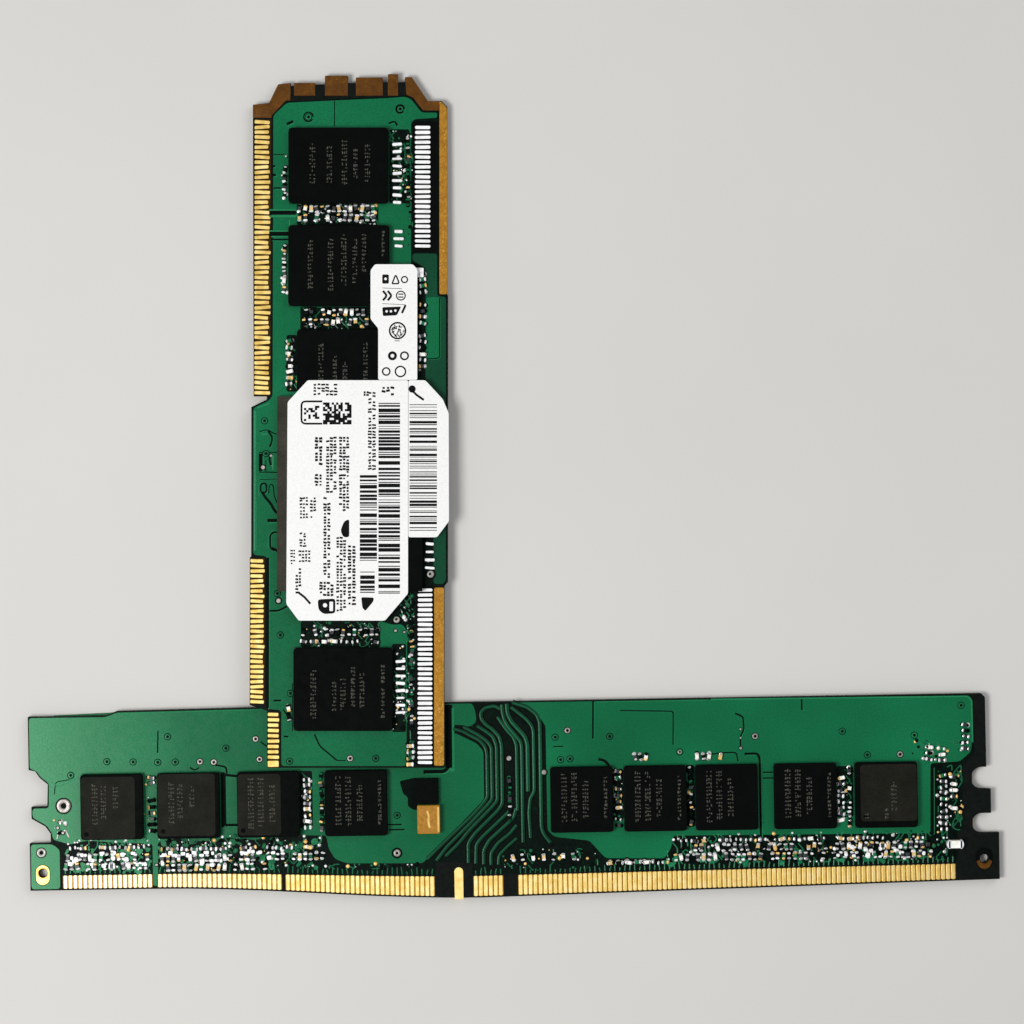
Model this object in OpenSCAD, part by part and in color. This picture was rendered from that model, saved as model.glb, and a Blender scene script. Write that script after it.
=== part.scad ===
// A pair of memory modules: a long lower board, and an upper board that lies across its far edge.
// Everything on the lower board is placed in (u, v), from its bottom left corner.
// Everything on the upper board is placed in (p, q), from the left end of its contact side.

/* [Lower board] */
// Length of the lower board, the standard length of a socketed module
lower_len = 133.35; // [133:0.05:134]
// Height of the lower board's far edge above its bottom left corner
lower_h = 25.1; // [25:0.05:26]
// How far the contact edge bows out at its lowest point
bow_depth = 1.9; // [1:0.1:2]
// Where along the board the bow is deepest
bow_at = 62; // [60:0.5:64]
// Radius of the two holes in the bottom corners
corner_hole_r = 0.6; // [0.4:0.05:0.7]
// Radius of the opening in the gold pads round those holes
pad_hole_r = 0.78; // [0.76:0.01:0.85]

/* [Upper board] */
// Width of the upper board across its widest part
upper_w = 27.17; // [27.1:0.01:27.3]
// Length of the upper board, end to end
upper_len = 95.7; // [95.6:0.05:96]
// Where the near end of the upper board starts
upper_end = 0.4; // [0.3:0.05:0.6]
// Turn of the upper board about the vertical
skew = 0.9; // [0.5:0.1:1]

/* [Layers] */
// Thickness of either board with its solder mask
board_t = 1.27; // [1.2:0.01:1.35]
// Thickness of the solder mask film
mask_t = 0.04; // [0.03:0.01:0.05]
// Thickness of the copper plane between the laminate layers
plane_t = 0.035; // [0.03:0.005:0.05]
// How far plated copper stands above the mask
plate_rise = 0.02; // [0.01:0.01:0.04]
// How high a routed track stands above the mask
track_rise = 0.05; // [0.03:0.01:0.08]
// Gap between the two boards where they cross
board_gap = 0.03; // [0.02:0.01:0.1]

/* [Contacts] */
// Pitch of the edge contacts
contact_pitch = 0.684; // [0.68:0.001:0.69]
// Width of one edge contact
contact_w = 0.56; // [0.4:0.01:0.6]
// Bare laminate left between a contact and the board's edge
contact_margin = 0.2; // [0.1:0.05:0.3]
// Width of the single long contact
key_contact_w = 1.2; // [0.8:0.1:1.3]

/* [Packages] */
// Width of a memory package on the lower board
dram_w = 8.6; // [8:0.1:8.8]
// Length of a memory package on the lower board
dram_l = 9; // [8.5:0.1:9.1]
// Diameter of a solder ball
ball_d = 0.45; // [0.3:0.05:0.5]
// Height of a solder ball once it is soldered down
ball_h = 0.26; // [0.2:0.01:0.3]
// Thickness of a package's substrate
substrate_t = 0.2; // [0.15:0.01:0.25]
// Thickness of a package's moulded cap
cap_t = 0.68; // [0.6:0.01:0.8]
// Thickness of the silicon die in a package
die_t = 0.3; // [0.2:0.05:0.4]

/* [Small parts] */
// Length of a chip capacitor or resistor
chip_part_l = 1; // [0.8:0.05:1]
// Width of a chip capacitor or resistor
chip_part_w = 0.6; // [0.4:0.05:0.6]
// Height of a chip capacitor
capacitor_h = 0.5; // [0.4:0.05:0.6]
// Height of a chip resistor
resistor_h = 0.35; // [0.3:0.05:0.4]

/* [Labels] */
// Thickness of a paper label
label_t = 0.12; // [0.1:0.01:0.15]

/* [Hidden] */

$fn = 32;
eps = 0.01;
ball_sides = 10;

// Heights in the stack of a board, from its back face
laminate_mid = board_t / 2;
front_z = board_t;
package_z = front_z + ball_h + substrate_t;
package_top = package_z + cap_t;

// The contact edge is straight as far as bow_starts, and ends a little lower than it began
bow_starts = 17;
right_end_v = -0.46;

// The upper board leans from the lower board's far edge down to the surface they lie on
upper_at = [30.52, 16.14];
overlap_len = 8.9;
tilt = asin((board_t + board_gap) / (upper_len - overlap_len));
upper_z = upper_len * sin(tilt);

// The frame's origin is under the middle of the whole pair
last_tab_at = 18.9;
key_contact_u = 58.95;
key_reach = 0.2;
near_y = edge_v(key_contact_u) - key_reach;
far_y = upper_at.y + upper_len * cos(skew) * cos(tilt) - last_tab_at * sin(skew)
    + board_t * sin(tilt);
mid_y = (far_y + near_y) / 2;

module place_lower() {
    translate([-lower_len / 2, -mid_y, 0]) children();
}

module place_upper() {
    translate([upper_at.x - lower_len / 2, upper_at.y - mid_y, upper_z])
        rotate([0, 0, -skew]) rotate([-tilt, 0, 0]) children();
}

// ---- Lower board: outline ----

// Height of the contact edge at u
function edge_v(u) =
    u <= bow_starts ? 0
    : u <= bow_at ? -bow_depth * (1 - cos(180 * (u - bow_starts) / (bow_at - bow_starts))) / 2
    : -bow_depth + (bow_depth + right_end_v) * (u - bow_at) / (lower_len - bow_at);

// Height of the contacts' inner ends at u
function contact_top_v(u) = 2.05 + edge_v(u) * 0.5;

edge_steps = [for (k = [0 : 9]) bow_starts + k * (bow_at - bow_starts) / 9];

left_end = [
    [0, 23.9], [0, 16.6], [0.9, 16.4], [1.5, 15.5], [2.6, 14.6], [2.5, 11.5], [0.3, 11.5],
    [0.3, 9.9], [2.2, 8.8], [2.9, 7.8], [2.9, 6.5], [0, 6.5], [0, 0]
];
notch_r = 1.5;
right_notch_v = [7.3, 13.5];
right_notch_u = [131, 131.1];
right_end = [
    [lower_len, right_end_v], [lower_len, 5.95], [132.3, 5.95], [132.3, 11.95],
    [131.75, 11.95], [131.7, lower_h - 0.5], [131.2, lower_h]
];
far_edge = [[57, lower_h - 0.1], [12.2, 24.5], [10.7, 23.9]];

module right_notches() {
    for (k = [0 : 1]) {
        translate([right_notch_u[k], right_notch_v[k]]) circle(r = notch_r - 0.15 + k * 0.15);
        translate([right_notch_u[k], right_notch_v[k] - notch_r + 0.15 - k * 0.15])
            square([5, 2 * (notch_r - 0.15 + k * 0.15)]);
    }
}

module lower_outline() {
    difference() {
        polygon(concat(left_end, [for (u = edge_steps) [u, edge_v(u)]], right_end, far_edge));
        right_notches();
        for (hole = corner_holes) translate(hole) circle(r = corner_hole_r);
    }
}

corner_holes = [[1.76, 2.4], [131.26, 2.4]];

module layer(z, t) {
    translate([0, 0, z]) linear_extrude(t) children();
}

// ---- Lower board: layers ----

module lower_plane_shape() {
    margin = 3.5;
    translate([margin, 0.6]) square([lower_len - 2 * margin, 22.6]);
}

module lower_laminate_back() {
    color("#1c2418") place_lower()
        layer(mask_t, laminate_mid - mask_t) lower_outline();
}

module lower_ground_plane() {
    color("#b87333") place_lower()
        layer(laminate_mid, plane_t) lower_plane_shape();
}

module lower_laminate_front() {
    color("#1c2418") place_lower() difference() {
        layer(laminate_mid, front_z - mask_t - laminate_mid) lower_outline();
        layer(laminate_mid - eps, plane_t + eps) lower_plane_shape();
    }
}

// The mask stops above the contacts, round the corner pads and short of the black right end
mask_steps = [for (k = [0 : 12]) 4.2 + k * (127.5 - 4.2) / 12];
mask_left = [
    [0.12, 23.8], [0.12, 16.7], [1, 16.45], [1.6, 15.6], [2.7, 14.7], [2.62, 11.4],
    [0.4, 11.4], [0.4, 10], [2.3, 8.9], [3, 7.8], [3, 6.4], [0.12, 6.4], [0.12, 0.15], [4.2, 0.15]
];
mask_right = [
    [127.6, 5.9], [128.4, 6.6], [128.4, 15.4], [130.1, 16.8], [130.1, 24.4], [129.6, 24.95]
];
mask_far = [[57, 24.85], [12.2, 24.35], [10.7, 23.75]];
left_pad_size = [2, 2.8];

module obround(size) {
    r = size.x / 2;
    for (side = [-1, 1]) translate([0, side * (size.y / 2 - r)]) circle(r = r);
    square([size.x, size.y - size.x], center = true);
}

module lower_mask_shape() {
    difference() {
        polygon(concat(
            mask_left, [for (u = mask_steps) [u, contact_top_v(u) + 0.15]], mask_right, mask_far
        ));
        translate(corner_holes[0]) obround(left_pad_size + [0.1, 0.1]);
        translate([55.7, -2]) square([5.1, 5]);
        for (ring = test_rings) translate([ring.x, ring.y]) circle(r = ring.z);
    }
}

module lower_mask_front() {
    color("#14703f") place_lower()
        layer(front_z - mask_t, mask_t) lower_mask_shape();
}

module lower_mask_back() {
    color("#14703f") place_lower() layer(0, mask_t) polygon(concat(
        [[3.4, 24], [3.4, contact_top_v(3.4) + 0.15]],
        [for (u = mask_steps) [u, contact_top_v(u) + 0.15]],
        [[129.2, 1.8], [129.2, lower_h - 0.2], [57, 24.85], [12.2, 24.3]]
    ));
}

// ---- Lower board: contacts ----

// Each group is its first edge and how many contacts it has
contact_groups = [[4.5, 18], [17.5, 25], [35.1, 30], [60.95, 6], [67.1, 88]];

module lower_contact_row() {
    for (group = contact_groups) for (k = [0 : group[1] - 1]) {
        u = group[0] + (k + 0.5) * contact_pitch;
        bottom = edge_v(u) + contact_margin;
        translate([u - contact_w / 2, bottom]) square([contact_w, contact_top_v(u) - bottom]);
    }
}

module lower_contacts_front() {
    color("#f2cf6b") place_lower()
        layer(front_z - mask_t, mask_t + plate_rise) lower_contact_row();
}

module lower_contacts_back() {
    color("#f2cf6b") place_lower() layer(0, mask_t) lower_contact_row();
}

// The single long contact, with a round inner end and a tip that laps the board's edge
module lower_key_contact() {
    bottom = edge_v(key_contact_u) - key_reach;
    r = key_contact_w / 2;
    color("#f2cf6b") place_lower() {
        layer(front_z - mask_t, mask_t + plate_rise) {
            translate([key_contact_u - r, bottom]) square([key_contact_w, 2.3 - bottom - r]);
            translate([key_contact_u, 2.3 - r]) circle(r = r);
        }
        translate([key_contact_u - r, bottom, 0]) cube([key_contact_w, 0.15, board_t]);
    }
}

module lower_corner_pads() {
    color("#e8b64c") place_lower() layer(front_z - mask_t, mask_t + plate_rise) {
        difference() {
            translate(corner_holes[0]) obround(left_pad_size);
            translate(corner_holes[0]) circle(r = pad_hole_r);
        }
        difference() {
            translate(corner_holes[1]) obround([2.4, 3]);
            translate(corner_holes[1]) circle(r = pad_hole_r);
        }
    }
}

// ---- Lower board: vias, rings and tracks ----

// Plugged vias on the open parts of the board
lower_via_at = [
    [74.2, 20.9], [72.5, 20], [80, 20], [100, 19.7], [112, 20.2], [121.9, 19.5], [115.4, 16.9],
    [119.9, 16.9], [128.4, 23.5], [73.2, 16.9], [74.5, 17], [5.8, 15.8], [31.3, 20.4],
    [27.2, 19.2], [19.2, 20.9], [31.8, 17.6], [10.8, 17.6], [14.4, 17.5], [17.8, 17.4],
    [20.2, 17.4], [23.6, 17.4], [25.5, 17.3], [89.6, 17.7], [50.5, 4.4], [50.6, 9.6]
];
via_r = 0.42;

module lower_vias() {
    color("#0b3d25") place_lower()
        for (at = lower_via_at) translate([at.x, at.y, front_z]) cylinder(r = via_r, h = plate_rise);
}

// Bare plated rings: centre and radius
test_rings = [[4.75, 11.6, 0.98], [1.6, 5.2, 0.65]];

module lower_test_rings() {
    color("#c9c4b4") place_lower() for (ring = test_rings)
        translate([ring.x, ring.y, front_z - mask_t])
            cylinder(r = ring.z - eps, h = mask_t + plate_rise);
}

// A track is a flat ribbon whose corners are mitred
function heading(a, b) = (b - a) / norm(b - a);
function left_of(v) = [-v.y, v.x];
function mitre(points, k, d) = let (
    before = heading(points[max(k - 1, 0)], points[max(k, 1)]),
    after = k == len(points) - 1 ? before : heading(points[k], points[k + 1]),
    normal = left_of(before) + left_of(after)
) normal * 2 * d / (normal * normal);

module track(points, width) {
    last = len(points) - 1;
    polygon(concat(
        [for (k = [0 : last]) points[k] + mitre(points, k, width / 2)],
        [for (k = [last : -1 : 0]) points[k] - mitre(points, k, width / 2)]
    ));
}

// The bundle is a left group and a right group, with a line of small parts between them
track_w = 0.28;
track_count = 11;
left_tracks = 5;
fanned_tracks = 3;
bundle_foot_v = 3.2;

function track_u(k) = k < left_tracks ? 62.7 + 0.63 * k : 67.15 + 0.67 * (k - left_tracks);
function bend_v(k) = 12.2 - 0.33 * k;

// The first tracks fan out to the left contacts; the others turn down to the contacts below
function track_foot(k) =
    k < fanned_tracks ? [[track_u(k) - bend_v(k) + bundle_foot_v, bundle_foot_v]]
    : let (u = 61.2 + 0.62 * (k - fanned_tracks))
        [[u, bend_v(k) - track_u(k) + u], [u, bundle_foot_v]];

// Three tracks come from the left, two from the ringed via and six from the far edge
function track_head(k) = let (u = track_u(k), out = track_count - 1 - k)
    k < fanned_tracks
        ? [[58.3, 21.6 - 0.55 * k], [60.4, 21.6 - 0.55 * k], [u, 82 - 0.55 * k - u]]
    : k < left_tracks ? [[u - 1.1, 23.8 - 0.5 * k + 1.5], [u, 22.7 - 0.5 * k + 1.5]]
    : [[u - 2.4, 24.7 - 0.3 * out], [u, 22.3 - 0.3 * out]];

module lower_track_bundle() {
    color("#0c4d2c") place_lower() layer(front_z, track_rise)
        for (k = [0 : track_count - 1])
            track(concat(track_head(k), [[track_u(k), bend_v(k)]], track_foot(k)), track_w);
}

// ---- Packages ----

// A package's moulded cap, with the pocket its die sits in
module package_cap(size, at) {
    translate([at.x, at.y, package_z]) difference() {
        translate([-size.x / 2, -size.y / 2, 0]) cube([size.x, size.y, cap_t]);
        translate([-size.x / 4, -size.y / 4, -eps]) cube([size.x / 2, size.y / 2, die_t + eps]);
    }
}

module package_die(size, at) {
    translate([at.x - size.x / 4, at.y - size.y / 4, package_z])
        cube([size.x / 2, size.y / 2, die_t]);
}

module package_substrate(size, at) {
    translate([at.x - size.x / 2, at.y - size.y / 2, front_z + ball_h])
        cube([size.x, size.y, substrate_t]);
}

// Two blocks of solder balls, with the free channel of a memory package between them
module package_balls(size, at, pitch) {
    rows = floor((size.y - 1.2) / pitch);
    half = rows / 2;
    for (side = [-1, 1]) for (column = [0 : 2]) for (row = [0 : rows])
        translate([
            at.x + side * (size.x / 2 - 0.8 - column * pitch), at.y + (row - half) * pitch, front_z
        ]) cylinder(d = ball_d, h = ball_h, $fn = ball_sides);
}

dram_size = [dram_w, dram_l];
dram_v = 11.45;
dram_u = [11.5, 22, 33, 45, 76, 86.1, 95.9, 106.7, 117.8];

module lower_dram(k) {
    color("#15170f") place_lower() package_cap(dram_size, [dram_u[k], dram_v]);
}

module lower_dram_1() { lower_dram(0); }
module lower_dram_2() { lower_dram(1); }
module lower_dram_3() { lower_dram(2); }
module lower_dram_4() { lower_dram(3); }
module lower_dram_5() { lower_dram(4); }
module lower_dram_6() { lower_dram(5); }
module lower_dram_7() { lower_dram(6); }
module lower_dram_8() { lower_dram(7); }
module lower_dram_9() { lower_dram(8); }

module lower_dram_substrates() {
    color("#1f3a22") place_lower() for (u = dram_u) package_substrate(dram_size, [u, dram_v]);
}

module lower_dram_dies() {
    color("#5d6470") place_lower() for (u = dram_u) package_die(dram_size, [u, dram_v]);
}

module lower_solder_balls() {
    color("#c8c8c8") place_lower() for (u = dram_u) package_balls(dram_size, [u, dram_v], 1);
}

module spd_chip() {
    color("#0f1110") place_lower() translate([53.15, 11.15, front_z]) cube([3.2, 3.5, 0.75]);
}

tantalum_at = [53.4, 7.1];
tantalum_size = [3.1, 3.9];
tantalum_h = 1.2;
terminal_t = 0.12;

module tantalum_capacitor() {
    color("#b8822b") place_lower() translate([tantalum_at.x, tantalum_at.y, front_z + terminal_t])
        cube([tantalum_size.x, tantalum_size.y, tantalum_h - terminal_t]);
}

module tantalum_terminals() {
    color("#c8c8c8") place_lower() for (y = [0.2, tantalum_size.y - 1.2])
        translate([tantalum_at.x + 0.4, tantalum_at.y + y, front_z])
            cube([tantalum_size.x - 0.8, 1, terminal_t]);
}

// ---- Chip capacitors and resistors ----

// A row is [start, end, across, pitch, upright, kind, seed]; kind 0 mixes the two parts and gaps,
// kind 1 is capacitors only and kind 2 is resistors only
function row_count(row) = floor((row[1] - row[0]) / row[3]) + 1;
function row_kind(row, k) = let (pick = rands(0, 1, row_count(row), row[6])[k])
    row[5] == 0 ? (pick < 0.6 ? 1 : pick < 0.86 ? 2 : 0) : row[5];

module chip_parts(rows, kind, height) {
    for (row = rows) for (k = [0 : row_count(row) - 1]) if (row_kind(row, k) == kind) {
        size = row[4] ? [chip_part_w, chip_part_l] : [chip_part_l, chip_part_w];
        along = row[0] + k * row[3];
        translate([along - size.x / 2, row[2] - size.y / 2, front_z]) cube([size.x, size.y, height]);
    }
}

// The same for a column, which runs away from the contact edge: [start, end, across, pitch, ...]
module chip_part_columns(columns, kind, height) {
    for (row = columns) for (k = [0 : row_count(row) - 1]) if (row_kind(row, k) == kind) {
        size = row[4] ? [chip_part_w, chip_part_l] : [chip_part_l, chip_part_w];
        along = row[0] + k * row[3];
        translate([row[2] - size.x / 2, along - size.y / 2, front_z]) cube([size.x, size.y, height]);
    }
}

lower_rows = [
    [5, 16.4, 3.25, 0.78, true, 0, 11], [5.2, 16.4, 4.5, 0.78, true, 0, 12],
    [6, 16, 5.8, 1.35, false, 0, 13], [18.2, 33, 2.9, 0.78, true, 0, 14],
    [18.2, 31.4, 4.2, 0.78, true, 0, 15], [18.6, 30.8, 5.45, 1.35, false, 0, 16],
    [34, 40.4, 4.2, 0.78, true, 0, 17], [33, 39.2, 5.45, 1.35, false, 0, 18],
    [88.8, 124.6, 3.2, 0.78, true, 0, 19], [89.2, 124.2, 4.5, 0.78, true, 0, 20],
    [90, 123.4, 5.5, 1.35, false, 0, 21], [66.4, 75, 3.6, 1.4, true, 1, 22],
    [83.4, 85.4, 17.1, 0.8, true, 1, 23], [92, 95.2, 17.1, 0.8, true, 0, 24],
    [79.8, 87.4, 2.6, 1.25, false, 1, 25]
];
lower_columns = [
    [8, 15.4, 16.9, 0.82, false, 0, 31], [8, 15.4, 40.2, 1.2, true, 0, 32],
    [7.8, 15.2, 81.05, 0.82, false, 0, 33], [8, 15.4, 91, 1.2, true, 0, 34],
    [8, 15.2, 111.65, 0.82, false, 0, 35], [7.6, 15, 112.85, 1.2, true, 0, 36],
    [6.6, 14.2, 125.7, 0.82, false, 0, 37], [6.8, 14, 127.2, 0.85, false, 0, 38],
    [17.6, 21.2, 128.9, 0.8, false, 0, 39], [9, 15.2, 66.1, 1.3, true, 2, 40],
    [16.2, 18.4, 123.9, 0.8, false, 0, 41], [16, 18.2, 125.6, 0.85, false, 1, 42],
    [8.2, 15.2, 38.3, 0.82, false, 0, 43]
];

// One larger capacitor at the right end of the rows
bulk_capacitor = [2.3, 1.3, 1.1];
bulk_capacitor_at = [126, 3.9];

module lower_capacitors() {
    color("#efe9dc") place_lower() {
        chip_parts(lower_rows, 1, capacitor_h);
        chip_part_columns(lower_columns, 1, capacitor_h);
        translate([bulk_capacitor_at.x, bulk_capacitor_at.y, front_z]) cube(bulk_capacitor);
    }
}

module lower_resistors() {
    color("#8a8a86") place_lower() {
        chip_parts(lower_rows, 2, resistor_h);
        chip_part_columns(lower_columns, 2, resistor_h);
    }
}

// ---- Upper board: outline ----

// The left side, from the near end: the end contacts, a step, the short contacts, the key notch
// and the long contacts
upper_left = [
    [2.4, upper_end], [2.4, 8.2], [0, 9], [0, 29.2], [0.18, 29.4], [0.18, 49.9],
    [2.3, 50.9], [2.3, 51.4], [0.5, 51.4], [0.34, 91.5], [2.54, 91.7], [3.8, 94.3]
];
// The far end: four castellations between the corner pieces, each as [left, right, reach]
castellations = [[6, 8.9, 94.5], [10.25, 13.4, 95.5], [14.5, 18.2, 95.25], [last_tab_at, 20.3, upper_len]];
gap_reach = [94.1, 94.3, 94.5, 94.6, 94.6];
far_points = concat(
    [[5.5, 94.5], [5.5, gap_reach[0]]],
    [for (k = [0 : 3]) let (tab = castellations[k]) each [
        [tab[0], gap_reach[k]], [tab[0], tab[2]], [tab[1], tab[2]], [tab[1], gap_reach[k + 1]]
    ]],
    [[21.25, gap_reach[4]], [21.25, 95.3], [22.2, 95.3]]
);
upper_right = [
    [24.4, 92], [26.3, 92], [27.06, 91.2], [27.06, 65.3], [upper_w, 65.3], [upper_w, 25.9],
    [26.7, 25.3], [26.7, upper_end]
];

module upper_outline() {
    polygon(concat(upper_left, far_points, upper_right));
}

// ---- Upper board: layers ----

module upper_plane_shape() {
    translate([3.2, 1.2]) square([22.4, 89]);
}

module upper_laminate_back() {
    color("#1c2418") place_upper()
        layer(mask_t, laminate_mid - mask_t) upper_outline();
}

module upper_ground_plane() {
    color("#b87333") place_upper() layer(laminate_mid, plane_t) upper_plane_shape();
}

module upper_laminate_front() {
    color("#1c2418") place_upper() difference() {
        layer(laminate_mid, front_z - mask_t - laminate_mid) upper_outline();
        layer(laminate_mid - eps, plane_t + eps) upper_plane_shape();
    }
}

pad_bed_1 = [[22.3, 71.2], [3.6, 18]];
pad_bed_2 = [[22.8, 0.6], [2.4, 24.8]];
rail_1 = [[26, 65.4], [1.06, 26.5]];
rail_2 = [[25.3, 0.7], [1.35, 24.4]];
inner_corner = [
    [3.03, 90], [4.95, 91.95], [12, 92.3], [19, 92.6], [21.35, 92.8], [22.3, 92.4],
    [23.7, 90.6], [25.9, 90.6]
];

module box2(box) {
    translate(box[0]) square(box[1]);
}

module upper_mask_shape() {
    difference() {
        polygon(concat(
            [[4.2, upper_end + 0.1], [4.2, 8.2], [2.5, 8.3], [2.2, 9.1], [2.2, 29.3], [0.3, 29.5],
             [0.3, 49.85], [2.4, 50.8], [2.95, 51.4]],
            inner_corner,
            [[25.9, 65.2], [27.05, 65.2], [27.05, 26], [26.6, 25.4], [25.3, 25.3],
             [25.3, upper_end + 0.1]]
        ));
        box2(pad_bed_1);
        box2(pad_bed_2);
    }
}

module upper_mask_front() {
    color("#14703f") place_upper() layer(front_z - mask_t, mask_t) upper_mask_shape();
}

module upper_mask_back() {
    color("#14703f") place_upper()
        layer(0, mask_t) translate([4.3, upper_end + 0.2]) square([21.6, 91.4]);
}

// ---- Upper board: contacts, copper and pads ----

module contact_column(left, right, first, count, pitch) {
    for (k = [0 : count - 1])
        translate([left, first + (k + 0.5) * pitch - contact_w / 2]) square([right - left, contact_w]);
}

module upper_long_shape() { contact_column(0.58, 2.87, 51.5, 55, 0.69); }
module upper_short_shape() { contact_column(0.08, 2.1, 9.1, 29, 0.69); }
module upper_end_shape() {
    contact_column(2.48, 4.1, 1.5, 9, 0.73);
    translate([2.48, upper_end + 0.05]) square([1.62, 1]);
}

module upper_contacts_long() {
    color("#f2cf6b") place_upper() layer(front_z - mask_t, mask_t + plate_rise) upper_long_shape();
}

module upper_contacts_short() {
    color("#f2cf6b") place_upper() layer(front_z - mask_t, mask_t + plate_rise) upper_short_shape();
}

module upper_contacts_end() {
    color("#f2cf6b") place_upper() layer(front_z - mask_t, mask_t + plate_rise) upper_end_shape();
}

module upper_contacts_back() {
    color("#f2cf6b") place_upper() layer(0, mask_t) {
        upper_long_shape();
        upper_short_shape();
        upper_end_shape();
    }
}

// Bare copper on the two far corners and the four castellations
module upper_copper_border() {
    color("#6b4216") place_upper() layer(front_z - mask_t, mask_t + plate_rise) {
        polygon([
            [0.34, 89.7], [0.34, 91.5], [2.54, 91.7], [3.8, 94.3], [5.5, 94.5], [5.5, 92.1],
            [4.85, 92.05], [2.95, 90.05], [2.9, 89.7]
        ]);
        for (tab = castellations)
            translate([tab[0], 92.75]) square([tab[1] - tab[0], tab[2] - 92.75]);
        polygon([
            [21.45, 92.9], [21.25, 95.3], [22.2, 95.3], [24.4, 92], [25.95, 92], [25.95, 90.7],
            [23.75, 90.7], [22.35, 92.5]
        ]);
    }
}

module upper_copper_rails() {
    color("#a87828") place_upper() layer(front_z - mask_t, mask_t + plate_rise) {
        box2(rail_1);
        box2(rail_2);
    }
}

module upper_pad_beds() {
    color("#0a0f0d") place_upper() layer(front_z - mask_t, mask_t) {
        box2(pad_bed_1);
        box2(pad_bed_2);
    }
}

module upper_pads() {
    color("white") place_upper() layer(front_z, 2 * plate_rise) {
        contact_column(22.6, 24.8, 71.7, 25, 0.68);
        contact_column(23, 25.1, 0.8, 36, 0.675);
    }
}

// Plugged vias on the upper board
upper_via_at = [
    [8, 89.8], [20.6, 90.9], [24.7, 27], [20.1, 20.8], [5.5, 1.3], [13.8, 1.7], [17.3, 1.7],
    [5.6, 10.6], [4.2, 18.6], [3.8, 24.3], [2, 48], [2.2, 43.5]
];

module upper_vias() {
    color("#0b3d25") place_upper()
        for (at = upper_via_at) translate([at.x, at.y, front_z]) cylinder(r = via_r, h = plate_rise);
}

// ---- Upper board: packages ----

upper_chip_size = [[13.75, 10.4], [13.85, 11.1], [12.7, 8.8], [13.6, 11.4]];
upper_chip_at = [[12.17, 83], [12.22, 69.25], [12.85, 56.1], [12.87, 11.2]];

module upper_chip(k) {
    color("#0b0e0c") place_upper() package_cap(upper_chip_size[k], upper_chip_at[k]);
}

module upper_dram_1() { upper_chip(0); }
module upper_dram_2() { upper_chip(1); }
module upper_register_chip() { upper_chip(2); }
module upper_dram_3() { upper_chip(3); }

module upper_dram_substrates() {
    color("#1f3a22") place_upper()
        for (k = [0 : 3]) package_substrate(upper_chip_size[k], upper_chip_at[k]);
}

module upper_dram_dies() {
    color("#5d6470") place_upper()
        for (k = [0 : 3]) package_die(upper_chip_size[k], upper_chip_at[k]);
}

buffer_size = [19.9, 26.7];
buffer_at = [3.8, 24.6];
buffer_mould_t = 0.3;

// The buffer's balls follow its rim in one ring
module buffer_balls() {
    pitch = 1.3;
    inset = 1;
    inner = buffer_size - [2 * inset, 2 * inset];
    for (y = [0, 1]) for (k = [0 : floor(inner.x / pitch)])
        translate([buffer_at.x + inset + k * pitch, buffer_at.y + inset + y * inner.y, front_z])
            cylinder(d = ball_d, h = ball_h, $fn = ball_sides);
    for (x = [0, 1]) for (k = [1 : floor(inner.y / pitch) - 1])
        translate([buffer_at.x + inset + x * inner.x, buffer_at.y + inset + k * pitch, front_z])
            cylinder(d = ball_d, h = ball_h, $fn = ball_sides);
}

module upper_solder_balls() {
    color("#c8c8c8") place_upper() {
        for (k = [0 : 3]) package_balls(upper_chip_size[k], upper_chip_at[k], 1.1);
        buffer_balls();
    }
}

module buffer_substrate() {
    color("#101412") place_upper() translate([buffer_at.x, buffer_at.y, front_z + ball_h])
        cube([buffer_size.x, buffer_size.y, substrate_t]);
}

module buffer_mould() {
    color("#0a0c0b") place_upper() difference() {
        translate([buffer_at.x, buffer_at.y, package_z]) cube([buffer_size.x, buffer_size.y, cap_t]);
        translate([buffer_at.x - eps, buffer_at.y - eps, package_z + buffer_mould_t])
            cube([buffer_size.x - 2, buffer_size.y + 2 * eps, cap_t]);
    }
}

module buffer_lid() {
    color("#45443c") place_upper()
        translate([buffer_at.x, buffer_at.y, package_z + buffer_mould_t])
            cube([buffer_size.x - 2.1, buffer_size.y, cap_t - buffer_mould_t]);
}

// ---- Upper board: labels ----

module label(points) {
    color("white") place_upper() layer(package_top, label_t) polygon(points);
}

// The main label: an octagon with long cut corners
module label_main() {
    label([
        [5.25, 50.5], [8, 53.5], [21.75, 53.5], [21.75, 24.3], [18.6, 20.6], [6.8, 20.6],
        [5.1, 22.9]
    ]);
}

// The side label overhangs the board's right edge a little
module label_side() {
    label([
        [21.8, 53.5], [24.1, 53.5], [26.5, 50.9], [27.3, 49], [27.35, 34.2], [25.7, 32], [21.8, 32]
    ]);
}

// The narrow label steps in at its left side
module label_top() {
    label([
        [17.65, 53.55], [17.65, 60.6], [16.6, 61.9], [16.6, 68.6], [17.2, 69.4], [22.4, 69.4],
        [23, 68.7], [23, 53.55]
    ]);
}

// ---- Upper board: chip capacitors and resistors ----

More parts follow.
